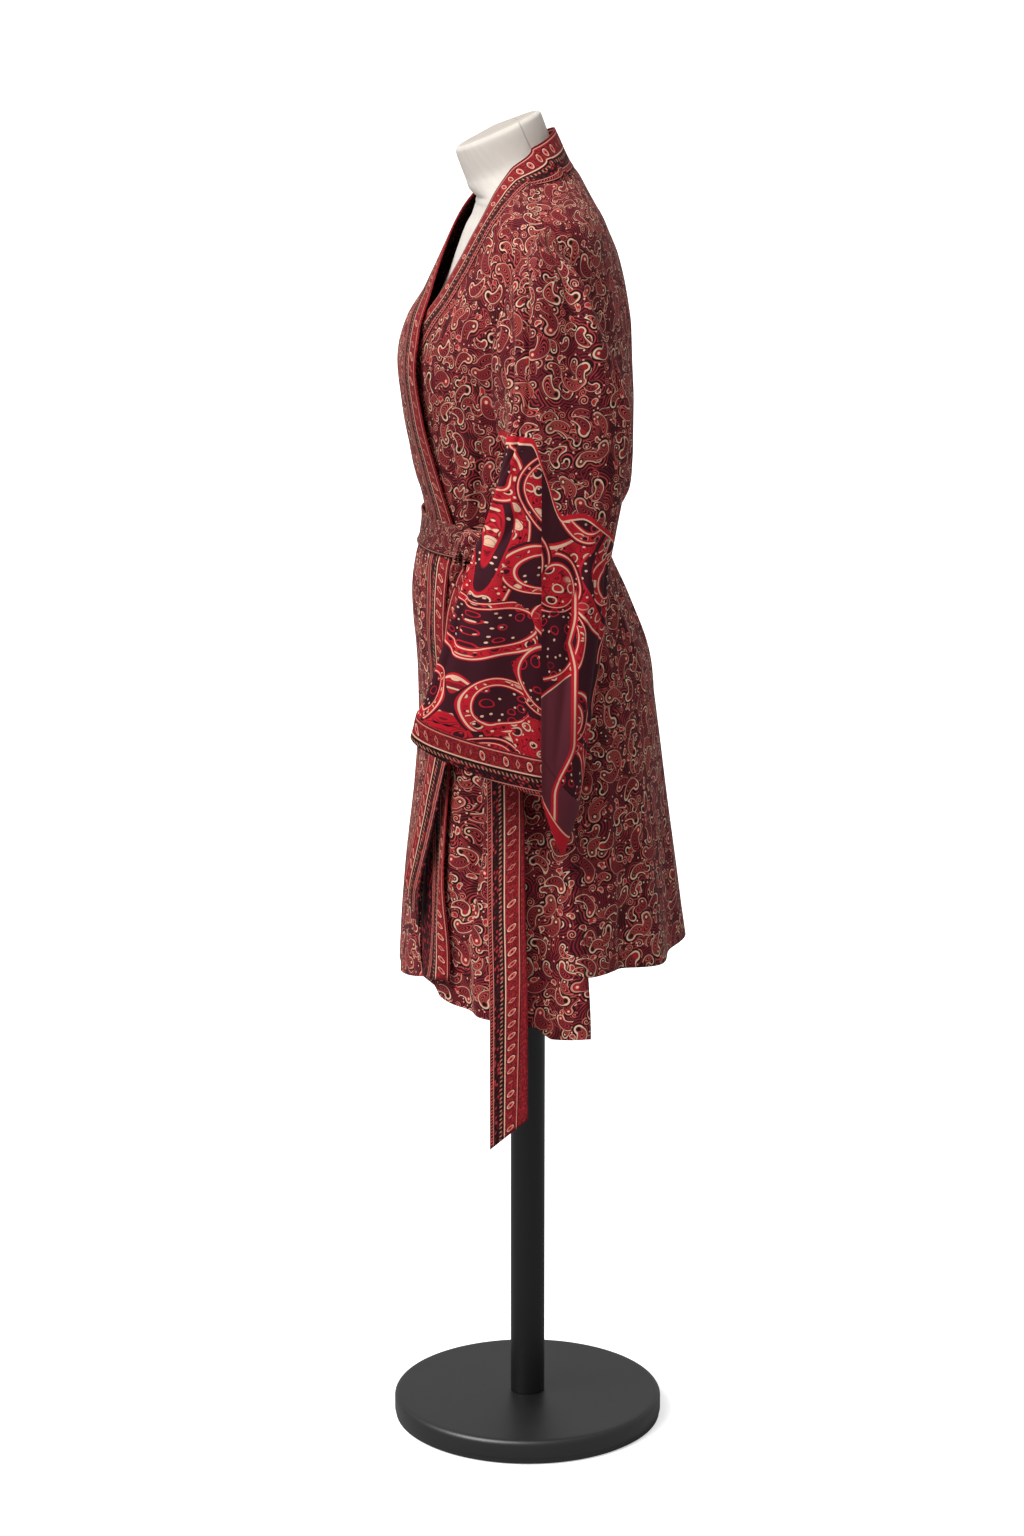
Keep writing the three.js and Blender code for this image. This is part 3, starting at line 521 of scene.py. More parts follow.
BODY_CREASES = [(a * DEGREE, b, c * DEGREE, d, e, f, g) for a, b, c, d, e, f, g in BODY_CREASES]


def body_crease(angle, z):
    free = 1 - ease(z, 985, 1000) * (1 - ease(z, 1030, 1046))  # nothing under the sash
    depth = creased(BODY_CREASES, np.asarray(angle) * DEGREE, z, span=360 * DEGREE) * free
    near_arm = ease(z, 1090, 1130) * (1 - ease(np.abs(np.abs(turned(angle)) - 90), 4, 22))
    return depth * (1 - 0.8 * near_arm)


def on_body(angle, z, lift):
    lifted = lift + body_crease(angle, z)
    return body_point(angle, z) + body_normal(angle, z) * np.asarray(lifted)[..., None]


def across(angle, z, along_angle, along_z, distance):
    """From places on the body, a distance over it at right angles to the way the edge runs."""
    steps = 6
    for _ in range(steps):
        around = body_point(angle + 0.5, z) - body_point(angle - 0.5, z)
        up = body_point(angle, z + 0.5) - body_point(angle, z - 0.5)
        edge = around * along_angle[..., None] + up * along_z[..., None]
        way = unit(np.cross(edge, body_normal(angle, z))) * (distance / steps)
        a, b, c = dot(around, around), dot(around, up), dot(up, up)
        r, u = dot(way, around), dot(way, up)
        angle = angle + (r * c - u * b) / (a * c - b * b)
        z = z + (u * a - r * b) / (a * c - b * b)
    return angle, z


def row_place(row, hem_at_edge, hem_at_side):
    """A row of a body panel: the height of its front edge, and the place of its outer edge."""
    row = np.asarray(row, dtype=float)
    down = np.clip(row / ARM_ROWS, 0, 1)
    waist = np.clip(row - ARM_ROWS, 0, WAIST_ROWS)
    skirt = np.clip((row - ARM_ROWS - WAIST_ROWS) / SKIRT_ROWS, 0, 1)
    steps = np.arange(WAIST_ROWS + 1)
    arm_z = mix(NECK_SIDE_Z, WAIST_EDGE[0], 0.55 * down + 0.45 * down**1.6)
    low_edge = mix(np.interp(waist, steps, WAIST_EDGE), hem_at_edge, skirt)
    low_side = mix(np.interp(waist, steps, WAIST_SIDE), hem_at_side, skirt)
    above = row <= ARM_ROWS
    return (
        np.where(above, arm_z, low_edge),
        np.where(above, 90 - read(ARMHOLE, "inset", down, "down"), read(SIDE_SEAM, "angle", low_side)),
        np.where(above, read(ARMHOLE, "z", down, "down"), low_side),
        skirt,
    )


def to_hem(z, down, hem, angle):
    """Lets a row's height sink to the hem's own line towards the bottom."""
    return mix(z, np.minimum(z, read(hem, "z", angle, "angle")), down**3)


STRIP_LONG = 2 * PANEL_ROWS + NAPE_COLUMNS


def strip_edge(step):
    """The border band's free edge: up the left front, round the nape and down the right front."""
    step = np.clip(np.asarray(step, dtype=float), 0, STRIP_LONG)
    left = step < PANEL_ROWS
    right = step > PANEL_ROWS + NAPE_COLUMNS
    row = np.where(left, PANEL_ROWS - step, np.where(right, step - PANEL_ROWS - NAPE_COLUMNS, 0))
    z_left = row_place(row, HEM_LEFT["z"][0], 0)[0]
    z_right = row_place(row, HEM_RIGHT["z"][-1], 0)[0]
    share = np.clip((step - PANEL_ROWS) / NAPE_COLUMNS, 0, 1)
    angle = np.where(
        left,
        read(LEFT_EDGE, "angle", z_left),
        np.where(right, read(RIGHT_EDGE, "angle", z_right) + 360, mix(90, 270, share)),
    )
    z = np.where(left, z_left, np.where(right, z_right, mix(NECK_SIDE_Z, NAPE_Z, np.sin(np.pi * share))))
    down = np.clip((row - ARM_ROWS - WAIST_ROWS) / SKIRT_ROWS, 0, 1)
    return angle, z, down, left, right


def strip_seam(step):
    """The band's seam to the panels, one band's width across from its free edge."""
    step = np.asarray(step, dtype=float)
    angle, z, down, left, right = strip_edge(step)
    after, before = strip_edge(step + 1), strip_edge(step - 1)
    seam_angle, seam_z = across(angle, z, after[0] - before[0], after[1] - before[1], BAND_WIDTH)
    sunk = np.where(
        left,
        to_hem(seam_z, down, HEM_LEFT, turned(seam_angle)),
        to_hem(seam_z, down, HEM_RIGHT, turned(seam_angle)),
    )
    return seam_angle, np.where(down > 0, sunk, seam_z)


# Mesh helpers

MM = 0.001


def smooth_piece(work, mesh_name, name):
    """What a bmesh holds, as an object of the scene with smooth faces."""
    for face in work.faces:
        face.smooth = True
    mesh = bpy.data.meshes.new(mesh_name)
    work.to_mesh(mesh)
    work.free()
    return add_object(name, mesh)


def grid_piece(name, columns, rows, place, cloth=None, close=False, away_from=None, lengthways=False):
    """A piece from a plain grid laid over place(u, v), with its cloth lengths as the UV map in metres.
    lengthways is for a band whose length runs along v."""
    work = bmesh.new()
    bmesh.ops.create_grid(work, x_segments=columns, y_segments=rows, size=0.5)
    spots = np.array([vert.co[:2] for vert in work.verts]) + 0.5
    column = np.rint(spots[:, 0] * columns).astype(int)
    row = np.rint(spots[:, 1] * rows).astype(int)
    points = place(column / columns, row / rows)
    if cloth is None:
        flat = lengths(points, column, row, columns, rows) * MM
        flat = flat[:, ::-1] if lengthways else flat
    else:
        flat = cloth(column / columns, row / rows) * MM
    uv = work.loops.layers.uv.new("cloth")
    for vert, point in zip(work.verts, points * MM):
        vert.co = point
    work.verts.index_update()
    for face in work.faces:
        for loop in face.loops:
            loop[uv].uv = flat[loop.vert.index]
    if close:
        bmesh.ops.remove_doubles(work, verts=work.verts, dist=1e-6)
    bmesh.ops.recalc_face_normals(work, faces=work.faces)
    turn_outwards(work, away_from)
    return smooth_piece(work, name, name + "_cloth")


def run(net, axis):
    """How far each point of a net lies along it from its first row or column, measured over the cloth."""
    steps = np.linalg.norm(np.diff(net, axis=axis), axis=2)
    return np.insert(np.cumsum(steps, axis=axis), 0, 0, axis=axis)


def lengths(points, column, row, columns, rows):
    order = np.argsort(row * (columns + 1) + column)
    net = points[order].reshape(rows + 1, columns + 1, 3)
    return np.stack([run(net, 1)[row, column], run(net, 0)[row, column]], -1)


def turn_outwards(work, away_from):
    """Turns all faces round where most of them look towards the given place or axis."""
    if away_from is None:
        return
    total = 0
    for face in work.faces:
        middle = face.calc_center_median()
        total += face.normal.dot(Vector(away_from(middle))) * face.calc_area()
    if total < 0:
        bmesh.ops.reverse_faces(work, faces=work.faces)


def from_axis(middle):
    return (middle.x, middle.y + 0.01, 0)


def thickened(piece, thickness):
    wall = piece.modifiers.new("wall", "SOLIDIFY")
    wall.thickness = thickness * MM
    wall.offset = 1
    wall.use_even_offset = False
    return piece


def dress(piece, slot, *materials):
    """Gives a piece its materials; its slot is not used. It is named after the node that it stands for, with
    one word more."""
    for material in materials:
        piece.data.materials.append(material)
    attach(piece, "root")
    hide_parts(piece.name.rsplit("_", 1)[0])


# Body panels


def arc_table():
    """The cloth's length round the body at each angle, and up it at each height. Above the shoulders' turn
    the length round stays as it is there, so the print isn't squeezed towards the neck."""
    angles = np.arange(-120, 301, 1.0)
    heights = np.arange(500, 1446, 3.0)
    around = run(body_point(*np.meshgrid(angles, np.minimum(heights, SHOULDER_TURN_Z))), 1)
    zero = np.argmin(np.abs(angles - 90))
    around -= around[:, zero : zero + 1]
    up = run(body_point(*np.meshgrid(angles, heights)), 0)
    level = np.argmin(np.abs(heights - WAIST_Z))
    up -= up[level : level + 1, :]
    return angles, heights, around, up


ARC = arc_table()


def body_cloth(angle, z):
    """Where a place on the body lies in the cloth."""
    angles, heights, around, up = ARC
    x = np.clip((angle - angles[0]) / (angles[1] - angles[0]), 0, len(angles) - 1.001)
    y = np.clip((z - heights[0]) / (heights[1] - heights[0]), 0, len(heights) - 1.001)
    i, j = x.astype(int), y.astype(int)
    s, t = x - i, y - j

    def at(grid):
        return mix(mix(grid[j, i], grid[j, i + 1], s), mix(grid[j + 1, i], grid[j + 1, i + 1], s), t)

    return np.stack([at(around), at(up)], -1)


def front_place(side, u, v):
    row = v * PANEL_ROWS
    hem = HEM_LEFT if side > 0 else HEM_RIGHT
    hem_at_side = hem["z"][-1] if side > 0 else hem["z"][0]
    _, outer_angle, outer_z, down = row_place(row, 0, hem_at_side)
    step = PANEL_ROWS - row if side > 0 else PANEL_ROWS + NAPE_COLUMNS + row
    seam_angle, seam_z = strip_seam(step)
    seam_angle = seam_angle - (0 if side > 0 else 360)
    angle = mix(seam_angle, side * outer_angle, u)
    z = to_hem(mix(seam_z, outer_z, u), down, hem, angle)
    seam_at = side * read(SIDE_SEAM, "angle", z)
    return mix(angle, mix(seam_angle, seam_at, u), (row > ARM_ROWS) * u**3), z


def body_panel(name, columns, spot, extra=None):
    """A panel over the body: spot(u, v) is an angle and a height, and extra(angle, z) lifts it further."""

    def place(u, v):
        angle, z = spot(u, v)
        return on_body(angle, z, PANEL_LIFT + (extra(angle, z) if extra else 0))

    def cloth(u, v):
        return body_cloth(*spot(u, v))

    return thickened(grid_piece(name, columns, 190, place, cloth, away_from=from_axis), CLOTH)


def back_place(u, v):
    row = v * PANEL_ROWS
    column = u * BACK_COLUMNS
    _, outer_angle, outer_z, down = row_place(row, HEM_BACK_Z, HEM_BACK_Z)
    left = np.where(row <= ARM_ROWS, 180 - outer_angle, outer_angle)
    lowered = np.minimum(1, row / (ARM_ROWS + 3))
    plain_angle = mix(left, 360 - left, u)
    plain_z = outer_z + np.sin(np.pi * u) * mix(BACK_ARCH_Z - SHOULDER_TIP_Z, 0, lowered)
    plain_z = plain_z - BACK_SINK * down**3 * ease(np.sin(np.pi * u), 0.1, 0.9)
    nape = np.clip(column - SHOULDER_COLUMNS, 0, NAPE_COLUMNS)
    neck_angle, neck_z = strip_seam(PANEL_ROWS + nape)
    near = (column < SHOULDER_COLUMNS) | (column > BACK_COLUMNS - SHOULDER_COLUMNS)
    from_tip = np.minimum(column, BACK_COLUMNS - column) / SHOULDER_COLUMNS
    top_angle = np.where(near, mix(np.where(u < 0.5, 90, 270), neck_angle, from_tip), neck_angle)
    top_z = np.where(near, mix(SHOULDER_TIP_Z, neck_z, from_tip), neck_z)
    blend = ease(row, 0, 7)
    return mix(top_angle, plain_angle, blend), mix(top_z, plain_z, blend)


def border_band():
    def place(u, v):
        step = v * STRIP_LONG
        angle, z, _, _, right = strip_edge(step)
        seam_angle, seam_z = strip_seam(step)
        angle, z = mix(angle, seam_angle, u), mix(z, seam_z, u)
        lift = np.where(right, right_lift(angle, z), 0)
        soft = 0.35 * np.sin(np.pi * u)
        return on_body(angle, z, lift + BAND_LIFT + soft)

    piece = grid_piece("collar_band", 10, 420, place, away_from=from_axis, lengthways=True)
    return thickened(piece, BORDER_CLOTH)


# Sleeves

SLEEVE_LONG = 11  # sections from the armhole to the cuff
SLEEVE_COLUMNS = 160
SLEEVE_ROWS = 150
CUFF_ROWS = 14
SEAM_LAP = 1.3  # how far out the sleeve's edge lies over the armhole's
CUFF_LAP = 0.04  # sections of the sleeve under its cuff
CUFF_OUT = 0.15  # how far out the cuff lies from the sleeve's inside
FOLD_LAP = 3.0  # how far the front half lies over the rear one at the fold
ELBOW_SHARE = 0.4  # how far down the rows the cloth is measured from
SLEEVE_ROUND = 500  # mm of cloth round a sleeve
SLEEVE_STEP = 52  # mm of cloth from one section to the next
# From (share of the way round, section) to the same, bow, half width and depth in mm
SLEEVE_CREASES = [
    (0.03, 0.0, 0.00, 5.6, 6, 9, 5.0),
    (0.075, 0.2, 0.05, 5.2, -5, 7, -5.5),
    (0.13, 0.3, 0.12, 4.8, 4, 9, 4.5),
    (0.19, 0.6, 0.16, 5.4, -4, 8, -5.0),
    (0.96, 0.2, 0.95, 5.2, 5, 9, -5.5),
    (0.90, 0.3, 0.89, 4.8, -4, 9, 5.0),
    (0.84, 0.8, 0.84, 5.4, 4, 9, -4.0),
    (0.77, 0.8, 0.78, 4.6, -3, 8, 3.5),
    (0.04, 4.4, 0.17, 5.8, 8, 8, -4.2),
    (0.05, 5.2, 0.20, 6.6, -6, 8, 3.6),
    (0.03, 6.2, 0.14, 7.4, 6, 9, -3.0),
    (0.96, 4.4, 0.82, 5.4, -8, 9, 4.2),
    (0.97, 5.3, 0.84, 6.3, 6, 7, -3.8),
    (0.95, 6.4, 0.86, 7.2, -5, 8, 3.0),
    (0.10, 6.4, 0.08, 10.8, 6, 14, 3.6),
    (0.17, 6.6, 0.18, 10.9, -6, 12, -3.6),
    (0.22, 6.2, 0.23, 10.6, 5, 10, 2.6),
    (0.93, 6.4, 0.95, 10.9, 5, 10, -3.6),
    (0.87, 6.0, 0.90, 10.8, -5, 9, 3.4),
    (0.80, 6.2, 0.82, 10.6, 4, 9, -3.0),
    (0.36, 3.0, 0.38, 9.0, 5, 9, 1.4),
    (0.62, 3.0, 0.64, 9.0, -5, 9, 1.4),
]
SLEEVE_CREASES = [
    (a * SLEEVE_ROUND, b * SLEEVE_STEP, c * SLEEVE_ROUND, d * SLEEVE_STEP, e, f, g)
    for a, b, c, d, e, f, g in SLEEVE_CREASES
]


def sleeve_rings(columns, turn, side):
    """Sections of a sleeve at each place round it: 0 is outermost, 0.25 fore, 0.5 innermost, 0.75 rear."""
    out_x, out_z, in_x, in_z, side_x, fore_y, fore_z, rear_y, rear_z = (
        column[:, None] for column in columns.values()
    )
    fore_y = mix(SLEEVE_OUT_Y, fore_y, FORE_REACH[side])
    mid_x, mid_z = (out_x + in_x) / 2, (out_z + in_z) / 2
    a = 2 * np.pi * turn[None, :]
    c = np.abs(np.cos(a)) ** SLEEVE_SQUARENESS
    s = np.abs(np.sin(a)) ** SLEEVE_SQUARENESS
    outer, fore = np.cos(a) > 0, np.sin(a) > 0
    x_c = np.where(outer, out_x, in_x) - mid_x
    z_c = np.where(outer, out_z, in_z) - mid_z
    y_c = np.where(outer, 0, -SLEEVE_OUT_Y * 0.5)
    x_s = side_x - mid_x
    y_s = np.where(fore, fore_y, rear_y) - SLEEVE_OUT_Y
    z_s = np.where(fore, fore_z, rear_z) - mid_z
    x = side * (mid_x + x_c * c + x_s * s)
    y = SLEEVE_OUT_Y + y_c * c + y_s * s
    z = mid_z + z_c * c + z_s * s
    return np.stack([x, y, z], -1)


def sleeve_net(turn, side):
    """The sleeve's sections at each place round it, the armhole first."""
    around = np.minimum(turn, 1 - turn) * 2
    inset = read(ARMHOLE, "inset", around, "down")
    angle = np.where(turn <= 0.5, 90 - inset, 90 + inset)
    z = read(ARMHOLE, "z", around, "down")
    lap = SEAM_LAP + CLOTH * around
    if side < 0:
        lap = lap + right_lift(-angle, z)
    armhole = body_point(side * angle, z) + body_normal(side * angle, z) * lap[:, None]
    rings = sleeve_rings(SLEEVE, turn, side)
    high = (z - UNDERARM_Z) / (SHOULDER_TIP_Z - UNDERARM_Z)
    free = np.array(SLEEVE_FREE)[:, None]
    rings[..., 1] = mix(armhole[None, :, 1] + mix(-8, SLEEVE_OUT_Y, high)[None, :], rings[..., 1], free)
    straight = mix(SLEEVE["inZ"][:, None], SLEEVE["outZ"][:, None], high[None, :])
    rings[..., 2] = mix(straight, rings[..., 2], free)
    return np.concatenate([armhole[None], rings])


def along_net(net, at):
    """Smooth rows through the sections of a net, at any section number."""
    last = len(net) - 1
    at = np.clip(at, 0, last)
    i = np.minimum(at.astype(int), last - 1)
    t = (at - i)[:, None, None]
    p0, p1, p2, p3 = (net[np.clip(i + k, 0, last)] for k in (-1, 0, 1, 2))
    return 0.5 * (
        2 * p1 + (p2 - p0) * t + (2 * p0 - 5 * p1 + 4 * p2 - p3) * t**2 + (3 * p1 - p0 - 3 * p2 + p3) * t**3
    )


def net_normals(rows, middle):
    """Normals of closed rows, all pointing away from the rows' middles."""
    around = np.roll(rows, -1, axis=1) - np.roll(rows, 1, axis=1)
    along = np.gradient(rows, axis=0)
    normal = unit(np.cross(along, around))
    return normal * np.sign(dot(normal, rows - middle))[..., None]


def sleeve_surface(rows, at, out):
    """Rows of a sleeve with its creases, and the front half lapped a little over the rear one at the fold."""
    turn = np.arange(SLEEVE_COLUMNS) / SLEEVE_COLUMNS
    normal = net_normals(rows, rows.mean(axis=1, keepdims=True))
    x = turn[None, :] * SLEEVE_ROUND + 0 * at[:, None]
    y = at[:, None] * SLEEVE_STEP + 0 * turn[None, :]
    lift = creased(SLEEVE_CREASES, x, y, span=SLEEVE_ROUND)
    lift = lift * ease(at, 0, 1.2)[:, None] + out
    rear = ((turn + 0.5) % 1) - 0.5
    step = ease(-rear, -0.004, 0.01) * (1 - ease(-rear, 0.03, 0.16))
    lift = lift - FOLD_LAP * step[None, :] * ease(at, 4.2, 6.0)[:, None]
    return rows + normal * lift[..., None]


def hanging_cloth(surface):
    """A sleeve's cloth laid flat: level across it and up its slope, worked out both ways from a row near its
    elbow."""
    normal = net_normals(surface[:, :-1], surface.mean(axis=1, keepdims=True))
    normal = np.concatenate([normal, normal[:, :1]], axis=1)
    level = unit(np.cross([0, 0, 1.0], normal))
    ways = np.stack([level, np.cross(normal, level)], -2)
    fixed = int(len(surface) * ELBOW_SHARE)
    across = np.diff(surface[fixed], axis=0)
    start = np.zeros((surface.shape[1], 2))
    start[1:] = np.cumsum(dot(across[:, None], ways[fixed, 1:]), axis=0)
    start -= start[len(start) // 2]
    down = np.zeros(surface.shape[:2] + (2,))
    drop = np.diff(surface, axis=0)
    down[1:] = np.cumsum(dot(drop[:, :, None], (ways[:-1] + ways[1:]) / 2), axis=0)
    return start + down - down[fixed]


def from_inner_line(rows):
    """Rows that start and end at the sleeve's inner line."""
    rolled = np.roll(rows, SLEEVE_COLUMNS // 2, axis=1)
    return np.concatenate([rolled, rolled[:, :1]], axis=1)


def sleeve_mesh(name, net, rows, first, last, thickness, out=0.0):
    at = np.linspace(first, last, rows + 1)
    plain = along_net(net, at)
    surface = from_inner_line(sleeve_surface(plain, at, out))
    flat = hanging_cloth(from_inner_line(plain))

    def pick(values):
        return lambda u, v: values[np.rint(v * rows).astype(int), np.rint(u * SLEEVE_COLUMNS).astype(int)]

    def from_middle(point):
        row = np.argmin(np.abs(surface[:, :, 2].mean(axis=1) - point.z / MM))
        return point - Vector(surface[row].mean(axis=0) * MM)

    cloth = pick(flat) if name.startswith("sleeve") else None
    piece = grid_piece(name, SLEEVE_COLUMNS, rows, pick(surface), cloth, close=True, away_from=from_middle)
    return thickened(piece, thickness)


def sleeve(side):
    turn = np.arange(SLEEVE_COLUMNS) / SLEEVE_COLUMNS
    net = np.concatenate([sleeve_net(turn, side), sleeve_rings(CUFF, turn, side)[1:]])
    word = "left" if side > 0 else "right"
    upper = sleeve_mesh("sleeve_" + word, net, SLEEVE_ROWS, 0, SLEEVE_LONG + CUFF_LAP, CLOTH)
    lower = sleeve_mesh("cuff_" + word, net, CUFF_ROWS, SLEEVE_LONG, len(net) - 1, BORDER_CLOTH, CUFF_OUT)
    return upper, lower


# Sash


def sash_lift(angle, z):
    return right_lift(angle, z) * ease(-turned(angle), -61, -49) + CAD_BORDER + 0.85


def sash_wrap():
    def place(u, v):
        angle = 360 * u
        z = WAIST_Z + (v - 0.5) * SASH_WIDTH
        soft = 0.8 * np.sin(np.pi * v) + 0.5 * np.sin(2 * np.pi * v * 2) * np.sin(np.radians(angle * 3))
        return on_body(angle, z, sash_lift(angle, z) + soft * 0.5)

    piece = grid_piece("belt_wrap", 240, 12, place, close=True, away_from=from_axis)
    return thickened(piece, SASH_CLOTH)


def sash_tail(name, columns, tip, under, waves):
    top = columns["z"][-1]
    lowest = columns["z"][0]

    def place(u, v):
        bottom = mix(tip[0], tip[1], u)
        z = mix(bottom, top, v)
        held = np.maximum(z, lowest)
        angle = read(columns, "angle", held)
        lift = read(columns, "lift", held) + under(angle, held)
        wide = read(columns, "wide", held)
        middle = on_body(angle, held, lift)
        out = body_normal(angle, held)
        out[:, 2] = 0
        out = unit(out)
        along = np.stack([-out[:, 1], out[:, 0], 0 * z], -1)
        middle[:, 2] = z
        wave = creased(waves, (u - 0.5) * 40, z)
        pinch = ease(z, 930, 992) * 2.4 * np.cos(np.pi * (u - 0.5) * 2)
        return middle + along * ((u - 0.5) * wide)[:, None] + out * (wave + pinch)[:, None]

    piece = grid_piece(name, 16, 160, place, away_from=from_axis, lengthways=True)
    return thickened(piece, SASH_CLOTH)


def knot_frame(lift):
    at = np.array([float(KNOT_ANGLE)])
    out = body_normal(at, np.array([float(WAIST_Z)]))[0]
    out[2] = 0
    out = out / np.linalg.norm(out)
    along = np.array([-out[1], out[0], 0])
    middle = body_point(at, WAIST_Z)[0] + body_normal(at, WAIST_Z)[0] * (
        sash_lift(KNOT_ANGLE, WAIST_Z) + CAD_CLOTH + 1 + lift
    )
    return middle, out, along


def knot():
    """The knot: one turn of sash pulled round the others, wider in the middle and gathered at its ends."""
    middle, out, along = knot_frame(KNOT_OUT + 1.5)

    def place(u, v):
        turn = 2 * np.pi * u
        rise = (v - 0.5) * 2
        belly = np.sqrt(np.maximum(0, 1 - np.abs(rise) ** 2.6))
        gather = 1 + 0.05 * np.sin(5 * turn + 2 * rise) * (1 - belly)
        groove = 1 - 0.12 * np.exp(-(((rise - 0.35 * np.cos(turn)) / 0.1) ** 2)) * (np.sin(turn) > 0)
        wide = (0.32 + 0.68 * belly) * gather * groove
        x = KNOT_ALONG * wide * boxy(np.cos(turn), 0.8)
        y = KNOT_OUT * wide * boxy(np.sin(turn), 0.8)
        z = KNOT_UP * rise * (1 - 0.06 * np.cos(turn))
        return middle + x[:, None] * along + y[:, None] * out + np.stack([0 * z, 0 * z, z], -1)

    return grid_piece("belt_knot", 64, 32, place, close=True, away_from=lambda p: p - Vector(middle * MM))


def bow_loop(name, way):
    """A bow loop that hangs beside the knot, its strands apart and its cloth seen nearly edge on."""
    middle, out, along = knot_frame(KNOT_OUT + 1.0)
    root = middle + along * way * (KNOT_ALONG + 1.2) + np.array([0, 0, 4])
    ribbon = unit(out * 0.80 - along * way * 0.60)

    def place(u, v):
        turn = 2 * np.pi * u
        reach = (1 - np.cos(turn)) / 2
        pinch = 0.35 + 0.65 * reach
        x = way * 7 * reach + 7.5 * np.sin(turn) * pinch
        z = -LOOP_HANG * reach ** 0.85 + 1.0 * np.sin(3 * turn) * (v - 0.5)
        wide = (v - 0.5) * 19 * (0.65 + 0.35 * reach)
        up = np.stack([0 * z, 0 * z, z], -1)
        return root + x[:, None] * along + wide[:, None] * ribbon + 2 * reach[:, None] * out + up

    def from_root(point):
        return point - Vector((root + along * way * 3.5 - np.array([0, 0, LOOP_HANG / 2])) * MM)

    piece = grid_piece(name, 64, 12, place, close=True, away_from=from_root)
    return thickened(piece, SASH_CLOTH)


# Dress form and stand


def form_torso():
    rings = len(FORM["z"])
    index = dict(FORM, number=np.arange(rings, dtype=float))

    def place(u, v):
        number = np.clip(v * (rings + 1) - 1, 0, rings - 1)
        shrink = np.clip(v * (rings + 1), 0, 1) * np.clip((1 - v) * (rings + 1), 0, 1)
        side, fore, rear, middle, tilt, z = (
            read(index, name, number, "number") for name in ("side", "fore", "rear", "middle", "tilt", "z")
        )
        a = 2 * np.pi * u
        depth = np.where(np.cos(a) > 0, fore, rear) * np.cos(a)
        tilted = np.radians(tilt)
        ring = np.stack([side * np.sin(a), middle - depth * np.cos(tilted), z - depth * np.sin(tilted)], -1)
        tip = np.where((v > 0.5)[:, None], FORM_TOP, np.array([0, FORM["middle"][0], FORM_BOTTOM_Z]))
        return mix(tip, ring, shrink[:, None])

    def from_heart(point):
        return point - Vector(FORM_HEART) * MM

    return grid_piece("form_torso", FORM_COLUMNS, 8 * (rings + 1), place, close=True, away_from=from_heart)


def turned_piece(name, profile, segments):
    """A profile of (radius, height) turned once round the pole's axis. Its faces are made one by one, because
    Blender's own spin gives them in another order in each run."""
    work = bmesh.new()
    turns = [2 * math.pi * step / segments for step in range(segments)]
    rings = [
        [work.verts.new((radius * MM * math.cos(t), radius * MM * math.sin(t), z * MM)) for t in turns]
        for radius, z in profile
    ]
    for low, high in zip(rings, rings[1:]):
        for step in range(segments):
            work.faces.new((low[step - 1], low[step], high[step], high[step - 1]))
    bmesh.ops.remove_doubles(work, verts=work.verts, dist=1e-6)
    bmesh.ops.recalc_face_normals(work, faces=work.faces)
    return smooth_piece(work, name, name + "_turned")


def rounded(radius, z, size, start, end, steps=6):
    """Points of a rounded corner of a profile."""
    turns = np.radians(np.linspace(start, end, steps + 1))
    return [(radius + size * math.cos(t), z + size * math.sin(t)) for t in turns]


def stand_base():
    edge = BASE_RADIUS
    profile = [(0, 0.4), (edge - 4, 0.4)]
    profile += rounded(edge - 3, 3.4, 2.0, -90, 0, 4)
    profile += [(edge - 1.0, 7.2)]
    profile += rounded(edge - 0.6, 8.4, 0.6, -90, 0, 3)
    profile += rounded(edge - 6, BASE_THICK - 6, 6, 0, 90, 8)
    profile += [(edge - 12, BASE_THICK - 0.05), (POLE_RADIUS + 6, BASE_THICK), (0, BASE_THICK)]
    return turned_piece("stand_base", profile, 160)


def stand_pole():
    low, high = BASE_THICK + 0.1, FORM_BOTTOM_Z - 0.3
    profile = [(0, low), (POLE_RADIUS - 0.5, low), (POLE_RADIUS, low + 0.5)]
    profile += [(POLE_RADIUS, z) for z in np.linspace(low + 1, high - 1, 12)]
    profile += [(POLE_RADIUS - 0.5, high), (0, high)]
    return turned_piece("stand_pole", profile, 72)


# Materials


def linear(red, green, blue):
    """A colour from its screen values of 0 to 255."""
    values = [v / 255 for v in (red, green, blue)]
    return tuple(v / 12.92 if v <= 0.04045 else ((v + 0.055) / 1.055) ** 2.4 for v in values) + (1,)


GROUND = linear(46, 8, 18)
DEEP = linear(28, 6, 12)
DULL_RED = linear(166, 54, 58)
RED = linear(172, 34, 42)
SALMON = linear(206, 86, 80)
CREAM = linear(232, 186, 158)
CRIMSON = linear(190, 26, 42)
AUBERGINE = linear(58, 18, 29)
TAN = linear(206, 128, 112)
PLAIN = linear(98, 40, 50)
ECHO = 0.0030  # metres from one echoing line of the small print to the next
THREAD = 0.00062  # metres from one thread of the weave to the next
FOLD_Y = -0.011  # metres: the front of the sleeve's outer side is before it, the rear behind it
PRINT_TOP = 1.142  # metres: the highest that the large print reaches
PLAIN_TOP = 0.886  # metres: the top of the plain strip behind the fold, where y is 0
PRINT_SHIFT = (0.060, 0.520, 0.0)  # which stretch of the large print shows, in metres
REAR_SHIFT = (0.180, 0.165, 0.0)


